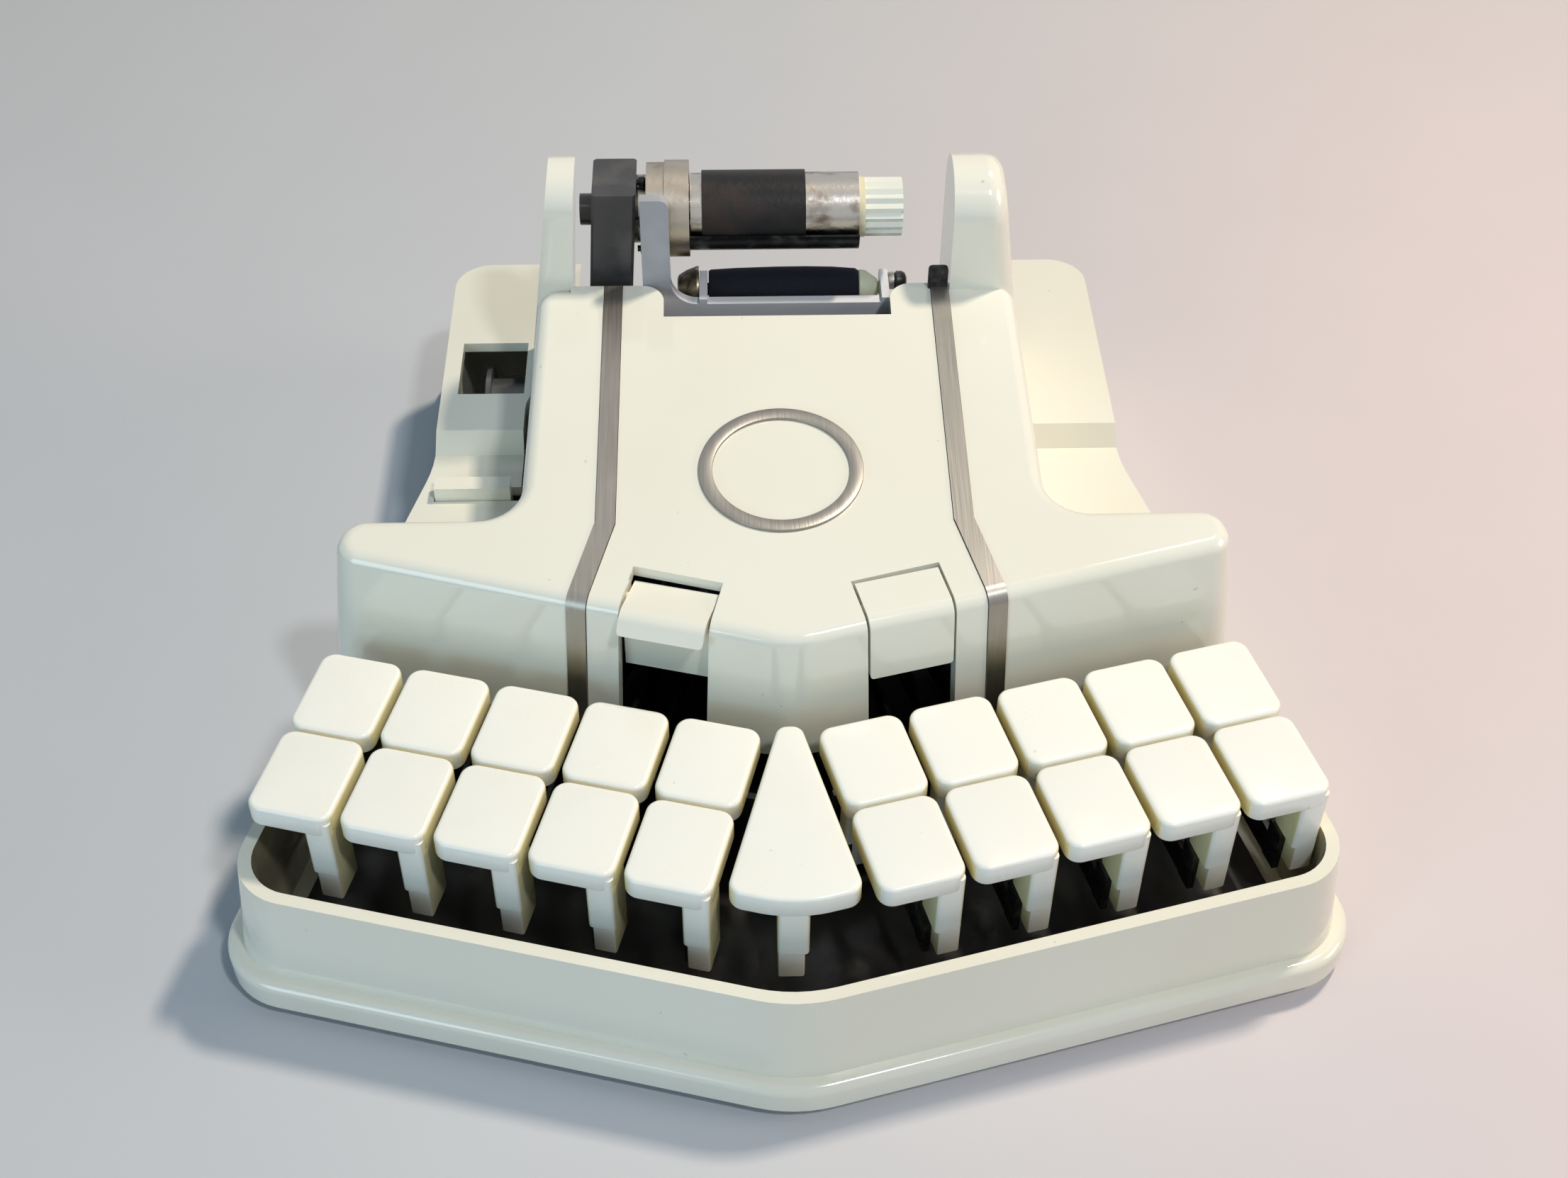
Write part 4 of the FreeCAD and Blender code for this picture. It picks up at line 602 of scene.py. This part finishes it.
# Five round rubber feet carry the machine. The rubber is dull and has picked up a little dust
# from the table.
foot_rubber = Finish("foot_rubber")
scrub = foot_rubber.cloud(300, 4)
foot_rubber.set("Base Color", foot_rubber.blend(scrub, (0.012, 0.012, 0.012),
                                                (0.035, 0.033, 0.031)))
foot_rubber.set("Roughness", scrub * 0.2 + 0.6)
foot_rubber.bump(scrub, 0.00005)
dress("rubber_feet", foot_rubber)

# The machine stands on a plain pale sheet of paper. It is painted warmer and brighter on the right,
# as painted warm light from that side, and greyer towards the back.
deselect()
bpy.ops.mesh.primitive_plane_add(size=6, location=(0, 0, 0))
floor = bpy.context.object
floor.name = "floor"
paper = Finish("floor_paper")
painted_warm_light = paper.spot(0).between(-0.06, 0.22)
far_side = paper.spot(1).between(0.10, 0.45)
grain = paper.cloud(30, 4)
pale = paper.blend(painted_warm_light, (0.56, 0.57, 0.60), (0.70, 0.60, 0.60))
pale = paper.blend(far_side * 0.5, pale, (0.57, 0.58, 0.575))
paper.set("Base Color", paper.blend(grain * 0.12, pale, (0.42, 0.41, 0.42)))
paper.set("Roughness", 0.75)
floor.data.materials.append(paper.material)

# The room gives a dim blue light from all sides. The camera and the reflections see its walls
# pale and bright instead, as in a white studio.
world = bpy.data.worlds.new("studio")
bpy.context.scene.world = world
world.use_nodes = True
backdrop = world.node_tree.nodes["Background"]
backdrop.inputs["Color"].default_value = (0.48, 0.76, 1.0, 1)
backdrop.inputs["Strength"].default_value = 0.19
pale_wall = world.node_tree.nodes.new("ShaderNodeBackground")
pale_wall.inputs["Color"].default_value = (0.84, 0.86, 0.88, 1)
pale_wall.inputs["Strength"].default_value = 0.9
ray = world.node_tree.nodes.new("ShaderNodeLightPath")
seen = world.node_tree.nodes.new("ShaderNodeMath")
seen.operation = "MAXIMUM"
walls = world.node_tree.nodes.new("ShaderNodeMixShader")
link = world.node_tree.links.new
link(ray.outputs["Is Camera Ray"], seen.inputs[0])
link(ray.outputs["Is Glossy Ray"], seen.inputs[1])
link(seen.outputs[0], walls.inputs[0])
link(backdrop.outputs[0], walls.inputs[1])
link(pale_wall.outputs[0], walls.inputs[2])
link(walls.outputs[0], world.node_tree.nodes["World Output"].inputs["Surface"])

# A warm lamp hangs above the machine at the right rear and a paler one at the right front. Two
# wide lamps fill in the shadows, warm from the right and cool from the left front.
LAMP_TARGET = Vector((0, 0, 0.03))


def soft_lamp(name, away, distance, size, power, colour):
    """A rectangular lamp that looks at the machine from this direction."""
    data = bpy.data.lights.new(name, "AREA")
    data.shape = "RECTANGLE"
    data.size, data.size_y = size
    data.energy, data.color = power, colour
    lamp = bpy.data.objects.new(name, data)
    bpy.context.scene.collection.objects.link(lamp)
    away = Vector(away).normalized()
    across = Vector((0, 1, 0)).cross(away).normalized()
    turn = Matrix((across, away.cross(across), away)).transposed().to_4x4()
    lamp.matrix_world = Matrix.Translation(LAMP_TARGET + away * distance) @ turn


soft_lamp("main_lamp", (0.42, 0.32, 1.0), 1.2, (0.08, 0.12), 9.4, (1.0, 0.88, 0.72))
soft_lamp("front_lamp", (0.32, -0.52, 1.0), 1.2, (0.09, 0.09), 4.0, (0.94, 0.97, 1.0))
soft_lamp("warm_lamp", (1.0, -0.15, 0.45), 1.1, (0.4, 0.4), 2.6, (1.0, 0.80, 0.66))
soft_lamp("cool_lamp", (-0.62, -0.78, 0.30), 1.1, (0.5, 0.5), 3.0, (0.62, 0.86, 1.0))

# The camera stands where the photograph was taken from, in front of the keys and looking down.
# Its focal length is that of the photograph, in the picture's own pixels.
FOCAL_PIXELS, PICTURE_PIXELS, SENSOR_WIDTH = 3000, 2212, 36
CAMERA_PLACE = Vector((-11, -328.26, 357.7)) * MM
PITCH, YAW, ROLL = math.radians(44.9), math.radians(2.0), math.radians(0.62)
ahead = Vector((math.sin(YAW) * math.cos(PITCH), math.cos(YAW) * math.cos(PITCH),
                -math.sin(PITCH)))
level = Vector((math.cos(YAW), -math.sin(YAW), 0))
above = level.cross(ahead)
right = level * math.cos(ROLL) + above * math.sin(ROLL)
up = above * math.cos(ROLL) - level * math.sin(ROLL)
lens = bpy.data.cameras.new("photographer")
lens.sensor_width = SENSOR_WIDTH
lens.lens = SENSOR_WIDTH * FOCAL_PIXELS / PICTURE_PIXELS
lens.clip_start = 0.01
camera = bpy.data.objects.new("photographer", lens)
bpy.context.scene.collection.objects.link(camera)
stance = Matrix((right, up, -ahead)).transposed().to_4x4()
camera.matrix_world = Matrix.Translation(CAMERA_PLACE) @ stance
bpy.context.scene.camera = camera
bpy.context.scene.view_settings.view_transform = "Standard"
